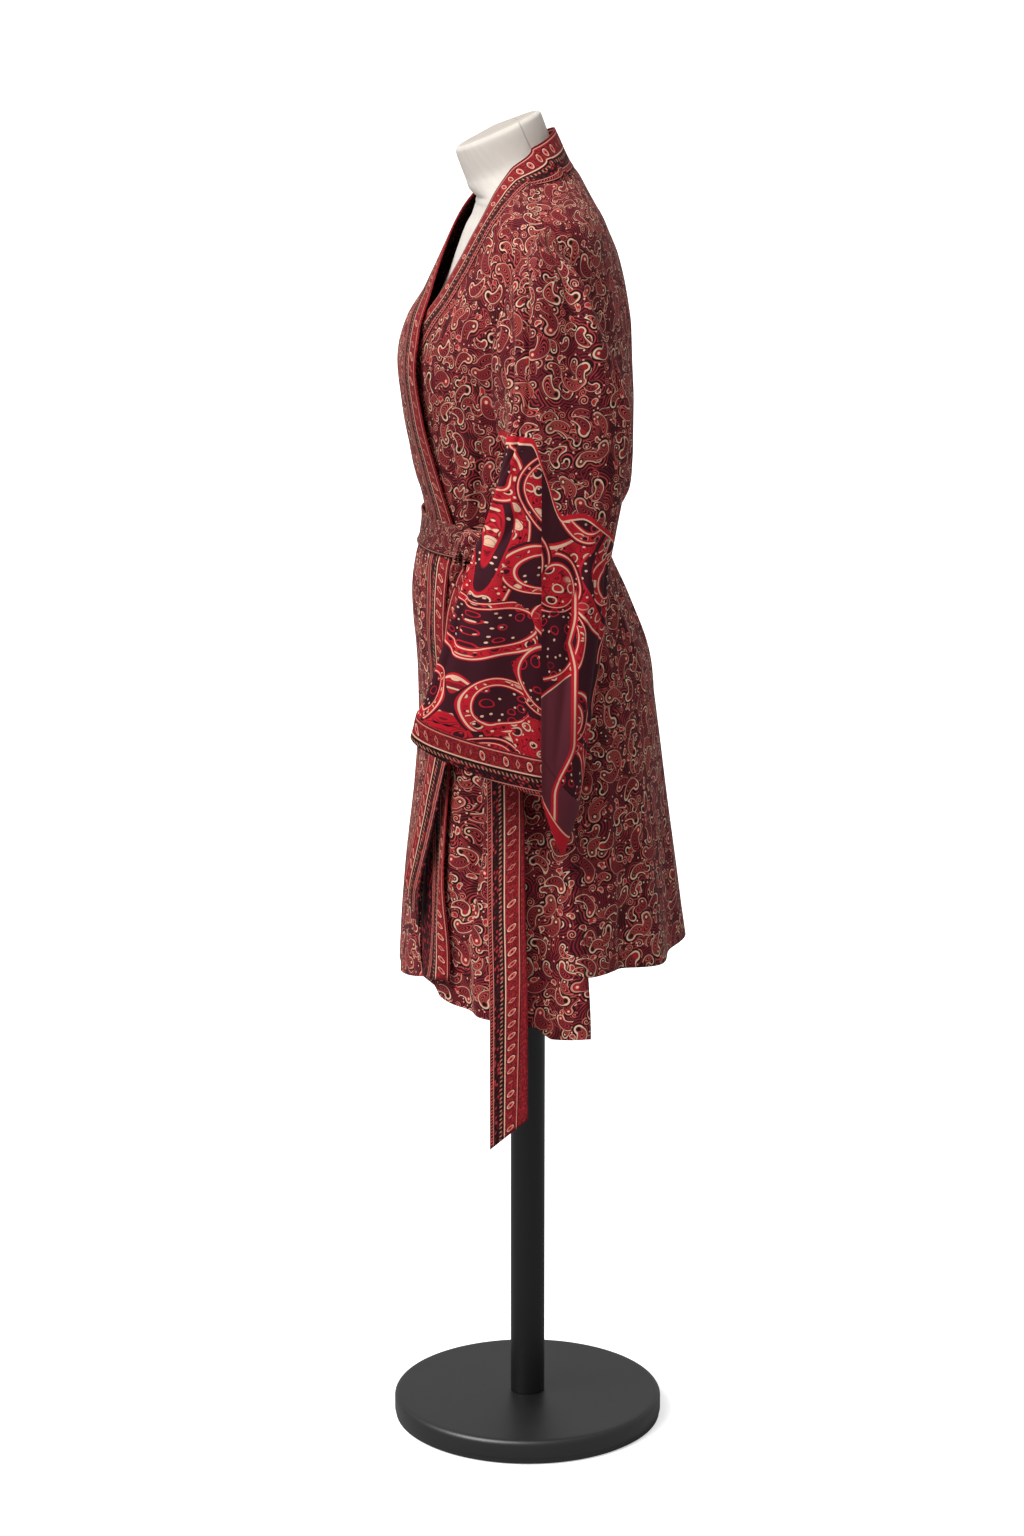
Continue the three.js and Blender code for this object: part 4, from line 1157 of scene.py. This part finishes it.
class Nodes:
    """Short ways to join the nodes of one group or material."""

    def __init__(self, tree):
        self.tree = tree

    def new(self, kind, **settings):
        node = self.tree.nodes.new(kind)
        for name, value in settings.items():
            setattr(node, name, value)
        return node

    def put(self, socket, value):
        if isinstance(value, bpy.types.NodeSocket):
            self.tree.links.new(value, socket)
        else:
            socket.default_value = value

    def math(self, operation, *values):
        node = self.new("ShaderNodeMath", operation=operation)
        for socket, value in zip(node.inputs, values):
            self.put(socket, value)
        return node.outputs[0]

    def plus(self, a, b):
        return self.math("ADD", a, b)

    def less(self, a, b):
        return self.math("SUBTRACT", a, b)

    def over(self, a, b):
        return self.math("GREATER_THAN", a, b)

    def vector(self, operation, *values):
        node = self.new("ShaderNodeVectorMath", operation=operation)
        for socket, value in zip(node.inputs, values):
            self.put(socket, value)
        return node.outputs["Value" if operation in ("LENGTH", "DISTANCE", "DOT_PRODUCT") else "Vector"]

    def scaled(self, vector, factor):
        node = self.new("ShaderNodeVectorMath", operation="SCALE")
        self.put(node.inputs[0], vector)
        self.put(node.inputs["Scale"], factor)
        return node.outputs["Vector"]

    def parts(self, vector):
        node = self.new("ShaderNodeSeparateXYZ")
        self.put(node.inputs[0], vector)
        return node.outputs[0], node.outputs[1], node.outputs[2]

    def joined(self, x, y, z=0.0):
        node = self.new("ShaderNodeCombineXYZ")
        for socket, value in zip(node.inputs, (x, y, z)):
            self.put(socket, value)
        return node.outputs[0]

    def rise(self, value, low, high):
        """0 below low, 1 above high, smooth between; the other way round where high is the lower."""
        node = self.new("ShaderNodeMapRange", interpolation_type="SMOOTHSTEP")
        ends = (low, high, 0, 1) if low < high else (high, low, 1, 0)
        self.put(node.inputs["Value"], value)
        for name, end in zip(("From Min", "From Max", "To Min", "To Max"), ends):
            node.inputs[name].default_value = end
        return node.outputs["Result"]

    def line(self, value, middle, half, soft):
        """1 where a value is within half of middle."""
        away = self.math("ABSOLUTE", self.math("SUBTRACT", value, middle))
        return self.rise(away, half + soft, half - soft)

    def paint(self, mask, below, above):
        node = self.new("ShaderNodeMix", data_type="RGBA")
        self.put(node.inputs[0], mask)
        self.put(node.inputs[6], below)
        self.put(node.inputs[7], above)
        return node.outputs[2]

    def noise(self, place, scale, detail=2.0, output="Fac", sides="2D"):
        node = self.new("ShaderNodeTexNoise", noise_dimensions=sides)
        self.put(node.inputs["Vector"], place)
        self.settle(node, scale=scale, detail=detail)
        return node.outputs[output]

    def cells(self, place, spacing, loose):
        """The nearest of many scattered points: its distance, its place and its random colour."""
        node = self.new("ShaderNodeTexVoronoi", voronoi_dimensions="2D", feature="F1")
        self.put(node.inputs["Vector"], place)
        self.settle(node, scale=1 / spacing, randomness=loose)
        return node.outputs

    def times(self, *masks):
        total = masks[0]
        for mask in masks[1:]:
            total = self.math("MULTIPLY", total, mask)
        return total

    def waves(self, value, length):
        """A sine with one wave to each length."""
        return self.math("SINE", self.times(value, 2 * math.pi / length))

    def settle(self, node, **values):
        """Sets a node's own values, named in small letters with a low line for each space."""
        for name, value in values.items():
            sockets = [socket for socket in node.inputs if socket.name.lower().replace(" ", "_") == name]
            sockets[0].default_value = value

    def bump(self, shader, height, strength, distance):
        node = self.new("ShaderNodeBump")
        self.settle(node, strength=strength, distance=distance)
        self.put(node.inputs["Height"], height)
        self.put(shader.inputs["Normal"], node.outputs[0])

    def body(self):
        """Places in the garment's own frame, in metres."""
        return self.new("ShaderNodeTexCoord").outputs["Object"]

    def but(self, mask):
        return self.less(1.0, mask)


def new_material(name):
    """A material, the short ways to join its nodes, and its shader."""
    material = bpy.data.materials.new(name)
    material.use_nodes = True
    return material, Nodes(material.node_tree), material.node_tree.nodes["Principled BSDF"]


def make_group(name, build, outputs):
    """A node group with a place as its input; build(n, place) gives what comes out."""
    tree = bpy.data.node_groups.new(name, "ShaderNodeTree")
    tree.interface.new_socket("Place", in_out="INPUT", socket_type="NodeSocketVector")
    for title, kind in outputs.items():
        tree.interface.new_socket(title, in_out="OUTPUT", socket_type=kind)
    n = Nodes(tree)
    place = n.new("NodeGroupInput").outputs["Place"]
    sink = n.new("NodeGroupOutput")
    for title, result in zip(outputs, build(n, place)):
        n.put(sink.inputs[title], result)
    return tree


def motif_field(n, place, spacing, seed, loose, size, tip, curl, sharp=3.0):
    """Curled drops scattered over the cloth: how far a point lies outside the nearest drop's outline, that
    drop's own random numbers, and how far and which way the point lies from its heart, in the drop's size."""
    moved = n.vector("ADD", place, (0.31 * seed, 0.17 * seed, 0))
    cells = n.cells(moved, spacing, loose)
    away = n.vector("SUBTRACT", moved, cells["Position"])
    first, second, third = n.parts(cells["Color"])
    spin = n.new("ShaderNodeVectorRotate", rotation_type="Z_AXIS")
    n.put(spin.inputs["Vector"], away)
    n.put(spin.inputs["Angle"], n.times(first, 2 * math.pi))
    own = n.math("MULTIPLY_ADD", second, 0.4 * size, 0.8 * size)
    x, y, _ = n.parts(n.scaled(spin.outputs[0], n.math("DIVIDE", 1.0, own)))
    x = n.plus(x, 0.46 * tip)
    far = n.math("SQRT", n.plus(n.times(x, x), n.times(y, y)))
    hand = n.times(n.math("SIGN", n.less(third, 0.5)), curl)
    turn = n.plus(n.math("ARCTAN2", y, x), n.times(far, hand))
    petal = n.math("MULTIPLY_ADD", n.math("COSINE", turn), 0.5, 0.5)
    reach = n.math("MULTIPLY_ADD", n.math("POWER", petal, sharp), tip, 0.50)
    edge = n.times(n.less(far, reach), own)
    return edge, (first, second, third), (far, turn)


def scattered_dots(n, place, spacing, radius):
    """Round dots, and two random numbers for each."""
    dots = n.cells(place, spacing, 0.9)
    share = radius / spacing
    first, second, _ = n.parts(dots["Color"])
    return n.rise(dots["Distance"], share * 1.15, share * 0.85), first, second


def paint_drop(n, colour, edge, far, chances, shown, thick=0.0008):
    """One curled drop: a dark edge, a pale outline, a red body with finer lines in it, and a small heart."""
    r1, r2, r3 = chances
    soft = 0.0002
    fill = n.paint(n.rise(r3, 0.3, 0.8), DULL_RED, SALMON)
    colour = n.paint(n.times(n.rise(edge, 2.7 * thick + soft, 2.7 * thick - soft), shown), colour, DEEP)
    outline = n.rise(edge, thick + soft, thick - soft)
    colour = n.paint(n.times(outline, shown), colour, n.paint(n.rise(r2, 0.3, 0.9), CREAM, TAN))
    body = n.times(n.rise(edge, soft - thick, -thick - soft), shown)
    waves = n.rise(n.waves(edge, ECHO), -0.05, 0.45)
    inside = n.paint(waves, n.paint(n.rise(r1, 0.3, 0.7), GROUND, DEEP), fill)
    inside = n.paint(n.rise(far, 0.30, 0.26), inside, n.paint(n.rise(r3, 0.35, 0.4), RED, DEEP))
    inside = n.paint(n.times(n.rise(far, 0.17, 0.13), n.rise(r2, 0.35, 0.4)), inside, CREAM)
    return n.paint(body, colour, inside)


def build_small_print(n, place):
    """Small curled drops, rings, curls and dots on a dark ground filled with fine echoing lines."""
    wobble = n.vector("SUBTRACT", n.noise(place, 28.0, 0.5, output="Color"), (0.5, 0.5, 0.5))
    place = n.vector("ADD", place, n.scaled(wobble, 0.007))
    big, big_chance, (big_far, _) = motif_field(n, place, 0.0310, 1, 0.50, 0.0090, 1.95, 0.62, 10.0)
    mid, mid_chance, (mid_far, _) = motif_field(n, place, 0.0230, 4, 0.60, 0.0062, 1.90, -0.70, 9.0)
    small, small_chance, (far, turn) = motif_field(n, place, 0.0115, 5, 0.80, 0.0034, 1.2, 0.6, 6.0)
    dot, d1, d2 = scattered_dots(n, place, 0.0066, 0.0009)
    near = n.math("MINIMUM", big, mid)
    echo = n.waves(near, ECHO)
    tone = n.noise(place, 24.0, 2.0)
    lines = n.paint(n.rise(tone, 0.38, 0.60), DULL_RED, linear(122, 32, 42))
    colour = n.paint(n.rise(echo, -0.25, 0.35), GROUND, lines)
    colour = n.paint(n.times(n.rise(echo, 0.70, 0.95), n.rise(tone, 0.54, 0.48), 0.6), colour, SALMON)
    colour = n.paint(n.times(n.rise(near, 0.0055, 0.0075), n.rise(tone, 0.50, 0.42), 0.8), colour, GROUND)
    s1, s2, s3 = small_chance
    shown = n.over(s1, 0.42)
    curl = n.over(s3, 0.55)
    drop = n.times(shown, n.but(curl))
    colour = n.paint(n.times(n.rise(small, 0.0015, 0.0011), drop), colour, DEEP)
    colour = n.paint(n.times(n.line(small, 0.0, 0.0006, 0.0002), drop), colour, n.paint(s2, CREAM, TAN))
    colour = n.paint(n.times(n.rise(small, -0.0004, -0.0008), drop), colour, n.paint(s2, DULL_RED, RED))
    colour = n.paint(n.times(n.rise(far, 0.24, 0.18), drop), colour, n.paint(s2, DEEP, CREAM))
    spiral = n.math("SINE", n.less(turn, n.times(far, 2 * math.pi / 0.62)))
    disc = n.times(n.rise(far, 1.30, 1.20), shown, curl)
    colour = n.paint(disc, colour, GROUND)
    colour = n.paint(n.times(n.rise(spiral, 0.0, 0.4), disc), colour, n.paint(s2, SALMON, TAN))
    dot = n.times(dot, n.over(d1, 0.60), n.rise(near, 0.0014, 0.0020))
    colour = n.paint(dot, colour, CREAM)
    mid_shown = n.over(mid_chance[0], 0.12)
    colour = paint_drop(n, colour, mid, mid_far, mid_chance, mid_shown, 0.0007)
    colour = paint_drop(n, colour, big, big_far, big_chance, 1.0, 0.0009)
    return (colour,)


def build_large_print(n, place):
    """Large curled drops and winding bands with crimson rims and cream lines, on a plain dark ground."""
    wobble = n.vector("SUBTRACT", n.noise(place, 9.0, 1.0, output="Color"), (0.5, 0.5, 0.5))
    place = n.vector("ADD", place, n.scaled(wobble, 0.034))
    big, (r1, r2, r3), (far, _) = motif_field(n, place, 0.070, 3, 0.50, 0.0330, 1.25, 0.55, 2.4)
    middle, (m1, m2, m3), (m_far, _) = motif_field(n, place, 0.0150, 8, 0.85, 0.0048, 0.85, 0.5)
    dot, d1, d2 = scattered_dots(n, place, 0.0075, 0.0012)
    dot = n.times(dot, n.over(d1, 0.40))
    flow = n.noise(place, 6.5, 0.3)
    weave = n.rise(n.math("SINE", n.times(n.noise(place, 60.0, 1.0), 70.0)), 0.3, 0.8)
    busy = n.paint(weave, CRIMSON, linear(120, 18, 32))
    busy = n.paint(n.rise(middle, 0.0013, 0.0010), busy, DEEP)
    busy = n.paint(n.line(middle, 0.0, 0.0008, 0.0002), busy, n.paint(n.rise(m3, 0.25, 0.45), CRIMSON, CREAM))
    inner = n.paint(n.rise(m1, 0.45, 0.5), AUBERGINE, n.paint(n.rise(m2, 0.3, 0.35), CREAM, RED))
    busy = n.paint(n.rise(middle, -0.0008, -0.0012), busy, inner)
    busy = n.paint(n.rise(m_far, 0.26, 0.20), busy, n.paint(n.rise(m2, 0.5, 0.6), CREAM, CRIMSON))
    dot_colour = n.paint(n.rise(d2, 0.45, 0.5), CREAM, DEEP)
    busy = n.paint(n.times(dot, n.rise(middle, 0.0014, 0.0018)), busy, dot_colour)
    quiet = n.paint(n.times(dot, n.rise(d2, 0.35, 0.4)), AUBERGINE, CREAM)
    quiet = n.paint(n.times(n.line(middle, -0.0003, 0.0006, 0.0002), n.rise(m1, 0.40, 0.45)), quiet, CRIMSON)
    colour = n.paint(n.line(flow, 0.5, 0.118, 0.002), AUBERGINE, CRIMSON)
    colour = n.paint(n.line(flow, 0.5, 0.102, 0.002), colour, busy)
    for middle_at in (0.394, 0.606):
        colour = n.paint(n.line(flow, middle_at, 0.0045, 0.0015), colour, CREAM)
    colour = n.paint(n.line(flow, 0.5, 0.027, 0.002), colour, CRIMSON)
    colour = n.paint(n.line(flow, 0.5, 0.018, 0.002), colour, AUBERGINE)
    colour = n.paint(n.times(n.line(flow, 0.5, 0.018, 0.002), dot), colour, CREAM)
    is_busy = n.over(r3, 0.52)
    colour = n.paint(n.rise(big, 0.0052, 0.0048), colour, AUBERGINE)
    colour = n.paint(n.rise(big, 0.0034, 0.0030), colour, CRIMSON)
    colour = n.paint(n.line(big, 0.0012, 0.0007, 0.0002), colour, CREAM)
    colour = n.paint(n.rise(big, -0.0010, -0.0014), colour, n.paint(is_busy, quiet, busy))
    colour = n.paint(n.line(big, -0.0082, 0.0024, 0.0003), colour, CRIMSON)
    colour = n.paint(n.line(big, -0.0082, 0.0007, 0.0002), colour, CREAM)
    colour = n.paint(n.rise(big, -0.0104, -0.0108), colour, n.paint(is_busy, busy, quiet))
    return (colour,)


def build_border(n, place):
    """A band of two stripes along its length: eyes on red, and short dashes on dark."""
    along, over, _ = n.parts(place)
    step = n.math("DIVIDE", along, 0.0125)
    number = n.math("FLOOR", step)
    within = n.less(n.less(step, number), 0.5)
    chance = n.new("ShaderNodeTexWhiteNoise", noise_dimensions="1D")
    n.put(chance.inputs["W"], number)
    odd = chance.outputs["Value"]
    red_y = n.math("DIVIDE", n.less(over, 0.0115), 0.0072)
    x = n.math("DIVIDE", within, n.math("MULTIPLY_ADD", odd, 0.14, 0.22))
    round_eye = n.math("SQRT", n.plus(n.times(x, x), n.times(red_y, red_y)))
    sharp_eye = n.plus(n.math("ABSOLUTE", x), n.math("ABSOLUTE", red_y))
    pick = n.over(odd, 0.45)
    lone = n.over(odd, 0.22)
    eye = n.plus(n.times(round_eye, pick), n.times(sharp_eye, n.but(pick)))
    eye = n.plus(n.times(eye, 1.25), n.times(n.but(lone), 0.35))
    mottled = n.noise(place, 320.0, 2.0)
    fine = n.math("SINE", n.math("MULTIPLY_ADD", over, 2 * math.pi / 0.0022, n.times(mottled, 9.0)))
    red = n.paint(n.rise(mottled, 0.42, 0.62), linear(128, 22, 32), linear(164, 42, 46))
    red = n.paint(n.times(n.rise(fine, 0.2, 0.7), 0.7), red, linear(70, 12, 20))
    red = n.paint(n.rise(eye, 1.16, 1.04), red, GROUND)
    red = n.paint(n.rise(eye, 0.92, 0.82), red, n.paint(odd, TAN, CREAM))
    red = n.paint(n.rise(eye, 0.72, 0.62), red, n.paint(odd, RED, SALMON))
    red = n.paint(n.rise(eye, 0.30, 0.22), red, DEEP)
    narrowed = n.vector("MULTIPLY", place, (1.0, 1.5, 1.0))
    speck, chance_a, chance_b = scattered_dots(n, narrowed, 0.0052, 0.0017)
    dash = n.waves(along, 0.0046)
    dash_wide = n.line(over, 0.0248, 0.0015, 0.0006)
    dark = n.paint(n.times(n.rise(mottled, 0.48, 0.64), 0.7), DEEP, linear(88, 26, 32))
    dark = n.paint(n.times(speck, n.over(chance_a, 0.55)), dark, n.paint(chance_b, RED, DULL_RED))
    dark = n.paint(n.times(n.rise(dash, 0.3, 0.7), dash_wide), dark, linear(176, 130, 104))
    ticks = n.waves(along, 0.0034)
    dark = n.paint(n.times(n.rise(ticks, 0.3, 0.7), n.line(over, 0.0372, 0.0014, 0.0006)), dark, SALMON)
    colour = n.paint(n.rise(over, 0.0205, 0.0215), red, dark)
    for place_over, wide, paint in (
        (0.0012, 0.0006, DEEP),
        (0.0028, 0.0006, TAN),
        (0.0196, 0.0007, CREAM),
        (0.0215, 0.0009, DEEP),
        (0.0348, 0.0005, TAN),
        (0.0400, 0.0006, TAN),
    ):
        colour = n.paint(n.line(over, place_over, wide, 0.0003), colour, paint)
    return (colour,)


def build_weave(n, place):
    """The cloth's threads as a height, and a slow unevenness of its surface."""
    x, y, _ = n.parts(place)
    warp = n.waves(x, THREAD)
    weft = n.waves(y, THREAD)
    threads = n.times(warp, weft, 0.5)
    slub = n.noise(place, 900.0, 1.0)
    uneven = n.noise(place, 60.0, 3.0)
    height = n.plus(threads, n.times(slub, 0.8))
    return height, uneven


ONE_COLOUR = {"Color": "NodeSocketColor"}
GROUPS = {
    "small_print": (build_small_print, ONE_COLOUR),
    "large_print": (build_large_print, ONE_COLOUR),
    "border_print": (build_border, ONE_COLOUR),
    "weave": (build_weave, {"Height": "NodeSocketFloat", "Uneven": "NodeSocketFloat"}),
}
GROUPS = {name: make_group(name, *parts) for name, parts in GROUPS.items()}


def use_group(n, name, place):
    node = n.new("ShaderNodeGroup", node_tree=GROUPS[name])
    n.put(node.inputs["Place"], place)
    return node.outputs


def cloth_start(name):
    """A new material with its shader, the places of its cloth in metres, and its weave."""
    material, n, shader = new_material(name)
    place = n.new("ShaderNodeUVMap", uv_map="cloth").outputs[0]
    return material, n, shader, place, use_group(n, "weave", place)


def cloth_material(name, paint):
    """A printed cloth: paint(n, place) gives its colour."""
    material, n, shader, place, weave = cloth_start(name)
    worn = n.paint(n.times(weave["Uneven"], 0.03), paint(n, place), linear(150, 90, 88))
    n.put(shader.inputs["Base Color"], worn)
    n.put(shader.inputs["Roughness"], n.math("MULTIPLY_ADD", weave["Uneven"], 0.16, 0.58))
    n.bump(shader, weave["Height"], strength=0.25, distance=0.0002)
    n.settle(shader, sheen_weight=0.02, sheen_roughness=0.45, sheen_tint=(1.0, 0.72, 0.70, 1))
    n.settle(shader, specular_ior_level=0.10)
    return material


def printed(n, place):
    return use_group(n, "small_print", place)["Color"]


def bordered(n, place):
    return use_group(n, "border_print", place)["Color"]


def bordered_over(n, place):
    """The border turned over, its red stripe at the other edge."""
    along, over, _ = n.parts(place)
    return use_group(n, "border_print", n.joined(along, n.less(SASH_WIDTH * MM, over)))["Color"]


def sash_paint(n, place):
    """The small print, finer, between thin pale lines along both edges."""
    _, over, _ = n.parts(place)
    colour = use_group(n, "small_print", n.scaled(place, 1.5))["Color"]
    for edge in (0.0015, SASH_WIDTH * MM - 0.0015):
        colour = n.paint(n.line(over, edge, 0.0016, 0.0003), colour, DEEP)
        colour = n.paint(n.line(over, edge, 0.0006, 0.0003), colour, TAN)
    return colour


def outer_rim(n, y, z):
    """How far a place lies behind the rim that curves down the rear of a sleeve's outer side."""
    drawn_in = n.times(n.rise(z, 0.832, 0.776), 0.0200)
    waist = n.times(n.line(z, 0.935, 0.008, 0.022), 0.0080)
    return n.less(n.plus(y, n.plus(drawn_in, waist)), 0.0235)


def rear_paint(n, y, z, colour):
    """The rear of a sleeve's outer side: plain beside the fold, then a crimson rim with a cream line."""
    behind = outer_rim(n, y, z)
    beside = n.times(n.rise(y, FOLD_Y - 0.0001, FOLD_Y + 0.0001), n.rise(behind, 0.0002, -0.0002))
    top = n.less(z, n.math("MULTIPLY_ADD", y, 0.7, PLAIN_TOP))
    for height, paint in ((0.0060, CRIMSON), (0.0035, CREAM), (0.0020, PLAIN)):
        colour = n.paint(n.times(beside, n.rise(top, height, height - 0.0005)), colour, paint)
    rim = n.rise(z, 0.990, 0.980)
    colour = n.paint(n.times(n.line(behind, 0.0, 0.0036, 0.0003), rim), colour, CRIMSON)
    return n.paint(n.times(n.line(behind, 0.0004, 0.0010, 0.0003), rim), colour, CREAM)


def shaded_wrap_paint(n, place):
    # Painted shade: the wrap is the sash print mixed well towards dark, though it is the same sash as the
    # knot and the loops.
    return n.paint(0.38, sash_paint(n, place), DEEP)


def sleeve_paint(n, place):
    """The small print above, and below a wavering line the large one, which starts anew behind the fold."""
    small = use_group(n, "small_print", place)["Color"]
    _, y, z = n.parts(n.body())
    shifted = n.vector("ADD", place, n.scaled(REAR_SHIFT, n.over(y, FOLD_Y)))
    shifted = n.vector("ADD", shifted, PRINT_SHIFT)
    large = use_group(n, "large_print", shifted)["Color"]
    low = n.times(n.rise(y, -0.022, 0.012), 0.078)
    low = n.math("MULTIPLY_ADD", n.rise(y, 0.030, 0.075), 0.030, low)
    low = n.math("MULTIPLY_ADD", n.rise(y, -0.044, -0.060), 0.040, low)
    edge = n.less(PRINT_TOP, low)
    waver = n.times(n.less(n.noise(place, 16.0, 1.0), 0.5), 0.018)
    below = n.less(n.plus(edge, waver), z)
    large = rear_paint(n, y, z, large)
    colour = n.paint(n.rise(below, -0.0005, 0.0005), small, large)
    colour = n.paint(n.line(below, 0.0028, 0.0026, 0.0004), colour, CRIMSON)
    colour = n.paint(n.line(below, 0.0062, 0.0008, 0.0003), colour, CREAM)
    return colour


def cuff_rear(n, place):
    """The rear half of a cuff: the sleeve's plain strip and rim run on to a crimson lower edge."""
    _, over, _ = n.parts(place)
    _, y, z = n.parts(n.body())
    colour = rear_paint(n, y, z, PLAIN)
    colour = n.paint(n.rise(over, 0.0375, 0.0380), colour, CRIMSON)
    return n.paint(n.line(over, 0.0395, 0.0008, 0.0003), colour, CREAM)


def form_material():
    """The form's ivory cloth, with a seam down each side and round the edge of the neck's cap, and painted
    shade on the cap.
    """
    material, n, shader, _, weave = cloth_start("form_cloth")
    body = n.body()
    _, y, z = n.parts(body)
    side = n.less(y, n.times(n.less(z, 1.437), -0.45))
    side_seam = n.line(side, -0.012, 0.0007, 0.0005)
    cap = n.less(n.vector("DOT_PRODUCT", body, CAP_NORMAL), CAP_HEIGHT)
    cap_seam = n.line(cap, -0.0042, 0.0007, 0.0005)
    seams = n.math("MAXIMUM", side_seam, cap_seam)
    colour = n.paint(weave["Uneven"], linear(222, 213, 203), linear(236, 228, 219))
    # Painted shade: the cap's top is painted darker than the rest of the form's ivory.
    colour = n.paint(n.times(n.rise(cap, -0.0040, -0.0034), 0.8), colour, linear(186, 177, 167))
    colour = n.paint(n.times(seams, 0.5), colour, linear(170, 156, 140))
    n.put(shader.inputs["Base Color"], colour)
    n.put(shader.inputs["Roughness"], n.math("MULTIPLY_ADD", weave["Uneven"], 0.1, 0.8))
    height = n.less(weave["Height"], n.times(seams, 6.0))
    n.bump(shader, height, strength=0.5, distance=0.0004)
    n.settle(shader, sheen_weight=0.1)
    return material


def metal_material(name, gloss):
    """Satin black, a little uneven, with a fine grain."""
    material, n, shader = new_material(name)
    place = n.body()
    grain = n.noise(place, 1400, sides="3D")
    cloud = n.noise(place, 14, sides="3D")
    n.put(shader.inputs["Base Color"], n.paint(cloud, linear(9, 9, 10), linear(16, 16, 17)))
    n.put(shader.inputs["Roughness"], n.math("MULTIPLY_ADD", cloud, 0.10, 0.36))
    n.bump(shader, grain, strength=0.12, distance=0.0001)
    n.settle(shader, specular_ior_level=gloss)
    return material


def floor_material():
    material, n, shader = new_material("floor")
    seen = n.new("ShaderNodeLightPath").outputs["Is Camera Ray"]
    n.put(shader.inputs["Base Color"], n.paint(seen, FLOOR_BOUNCE, FLOOR_PALE))
    n.settle(shader, roughness=0.9, specular_ior_level=0.1, emission_color=(1, 1, 1, 1))
    n.put(shader.inputs["Emission Strength"], n.times(seen, FLOOR_GLOW))
    return material


# Putting it together


def add_floor():
    work = bmesh.new()
    bmesh.ops.create_circle(work, cap_ends=True, segments=96, radius=400)
    mesh = bpy.data.meshes.new("floor")
    work.to_mesh(mesh)
    work.free()
    floor = add_object("floor", mesh)
    floor.data.materials.append(floor_material())


add_camera()
add_studio()
add_floor()

printed_cloth = cloth_material("printed_cloth", printed)
border_cloth = cloth_material("border_cloth", bordered)
sleeve_cloth = cloth_material("sleeve_cloth", sleeve_paint)
cuff_cloth = cloth_material("cuff_rear_cloth", cuff_rear)
sash_cloth = cloth_material("sash_cloth", sash_paint)
wrap_cloth = cloth_material("wrap_cloth", shaded_wrap_paint)
tail_cloth = cloth_material("tail_cloth", bordered_over)
form_cloth = form_material()

back = body_panel("back", 130, back_place)
front_left = body_panel("front_left", 72, lambda u, v: front_place(1, u, v))
front_right = body_panel("front_right", 72, lambda u, v: front_place(-1, u, v), right_lift)
for piece in (back, front_left, front_right):
    dress(piece, "printed_cloth", printed_cloth)
band = border_band()
dress(band, "border_cloth", border_cloth)
sleeves = {}
for side in (1, -1):
    upper, lower = sleeve(side)
    sleeves[side] = upper, lower
    dress(upper, "sleeve_cloth", sleeve_cloth)
    dress(lower, "border_cloth", border_cloth, cuff_cloth)
    for face in lower.data.polygons:
        column = face.index % SLEEVE_COLUMNS
        face.material_index = int(column < SLEEVE_COLUMNS * 0.5)
wrap = sash_wrap()
tail_long = sash_tail(
    "belt_tail_long", TAIL_LONG, TAIL_LONG_TIP, lambda angle, z: CAD_CLOTH, [(-4, 900, 6, 420, 3, 7, 1.6)]
)
tail_short = sash_tail(
    "belt_tail_short",
    TAIL_SHORT,
    TAIL_SHORT_TIP,
    lambda angle, z: right_lift(angle, z) * ease(-turned(angle), -50, -42) + CAD_BORDER,
    [(4, 900, -6, 640, -3, 7, 1.4)],
)
sash_knot = knot()
loop_front = bow_loop("belt_loop_front", -1)
loop_back = bow_loop("belt_loop_back", 1)
sash_finish = {
    wrap: wrap_cloth,
    sash_knot: sash_cloth,
    loop_front: sash_cloth,
    loop_back: sash_cloth,
    tail_long: tail_cloth,
}
for piece in (wrap, tail_long, tail_short, sash_knot, loop_front, loop_back):
    dress(piece, "border_cloth", sash_finish.get(piece, border_cloth))
torso = form_torso()
dress(torso, "form_cloth", form_cloth)
for piece, gloss in ((stand_base(), 0.80), (stand_pole(), 0.4)):
    dress(piece, "black_metal", metal_material("black_metal_" + piece.name, gloss))

for side, word in ((1, "left"), (-1, "right")):
    upper, lower = sleeves[side]

bpy.context.view_layer.update()
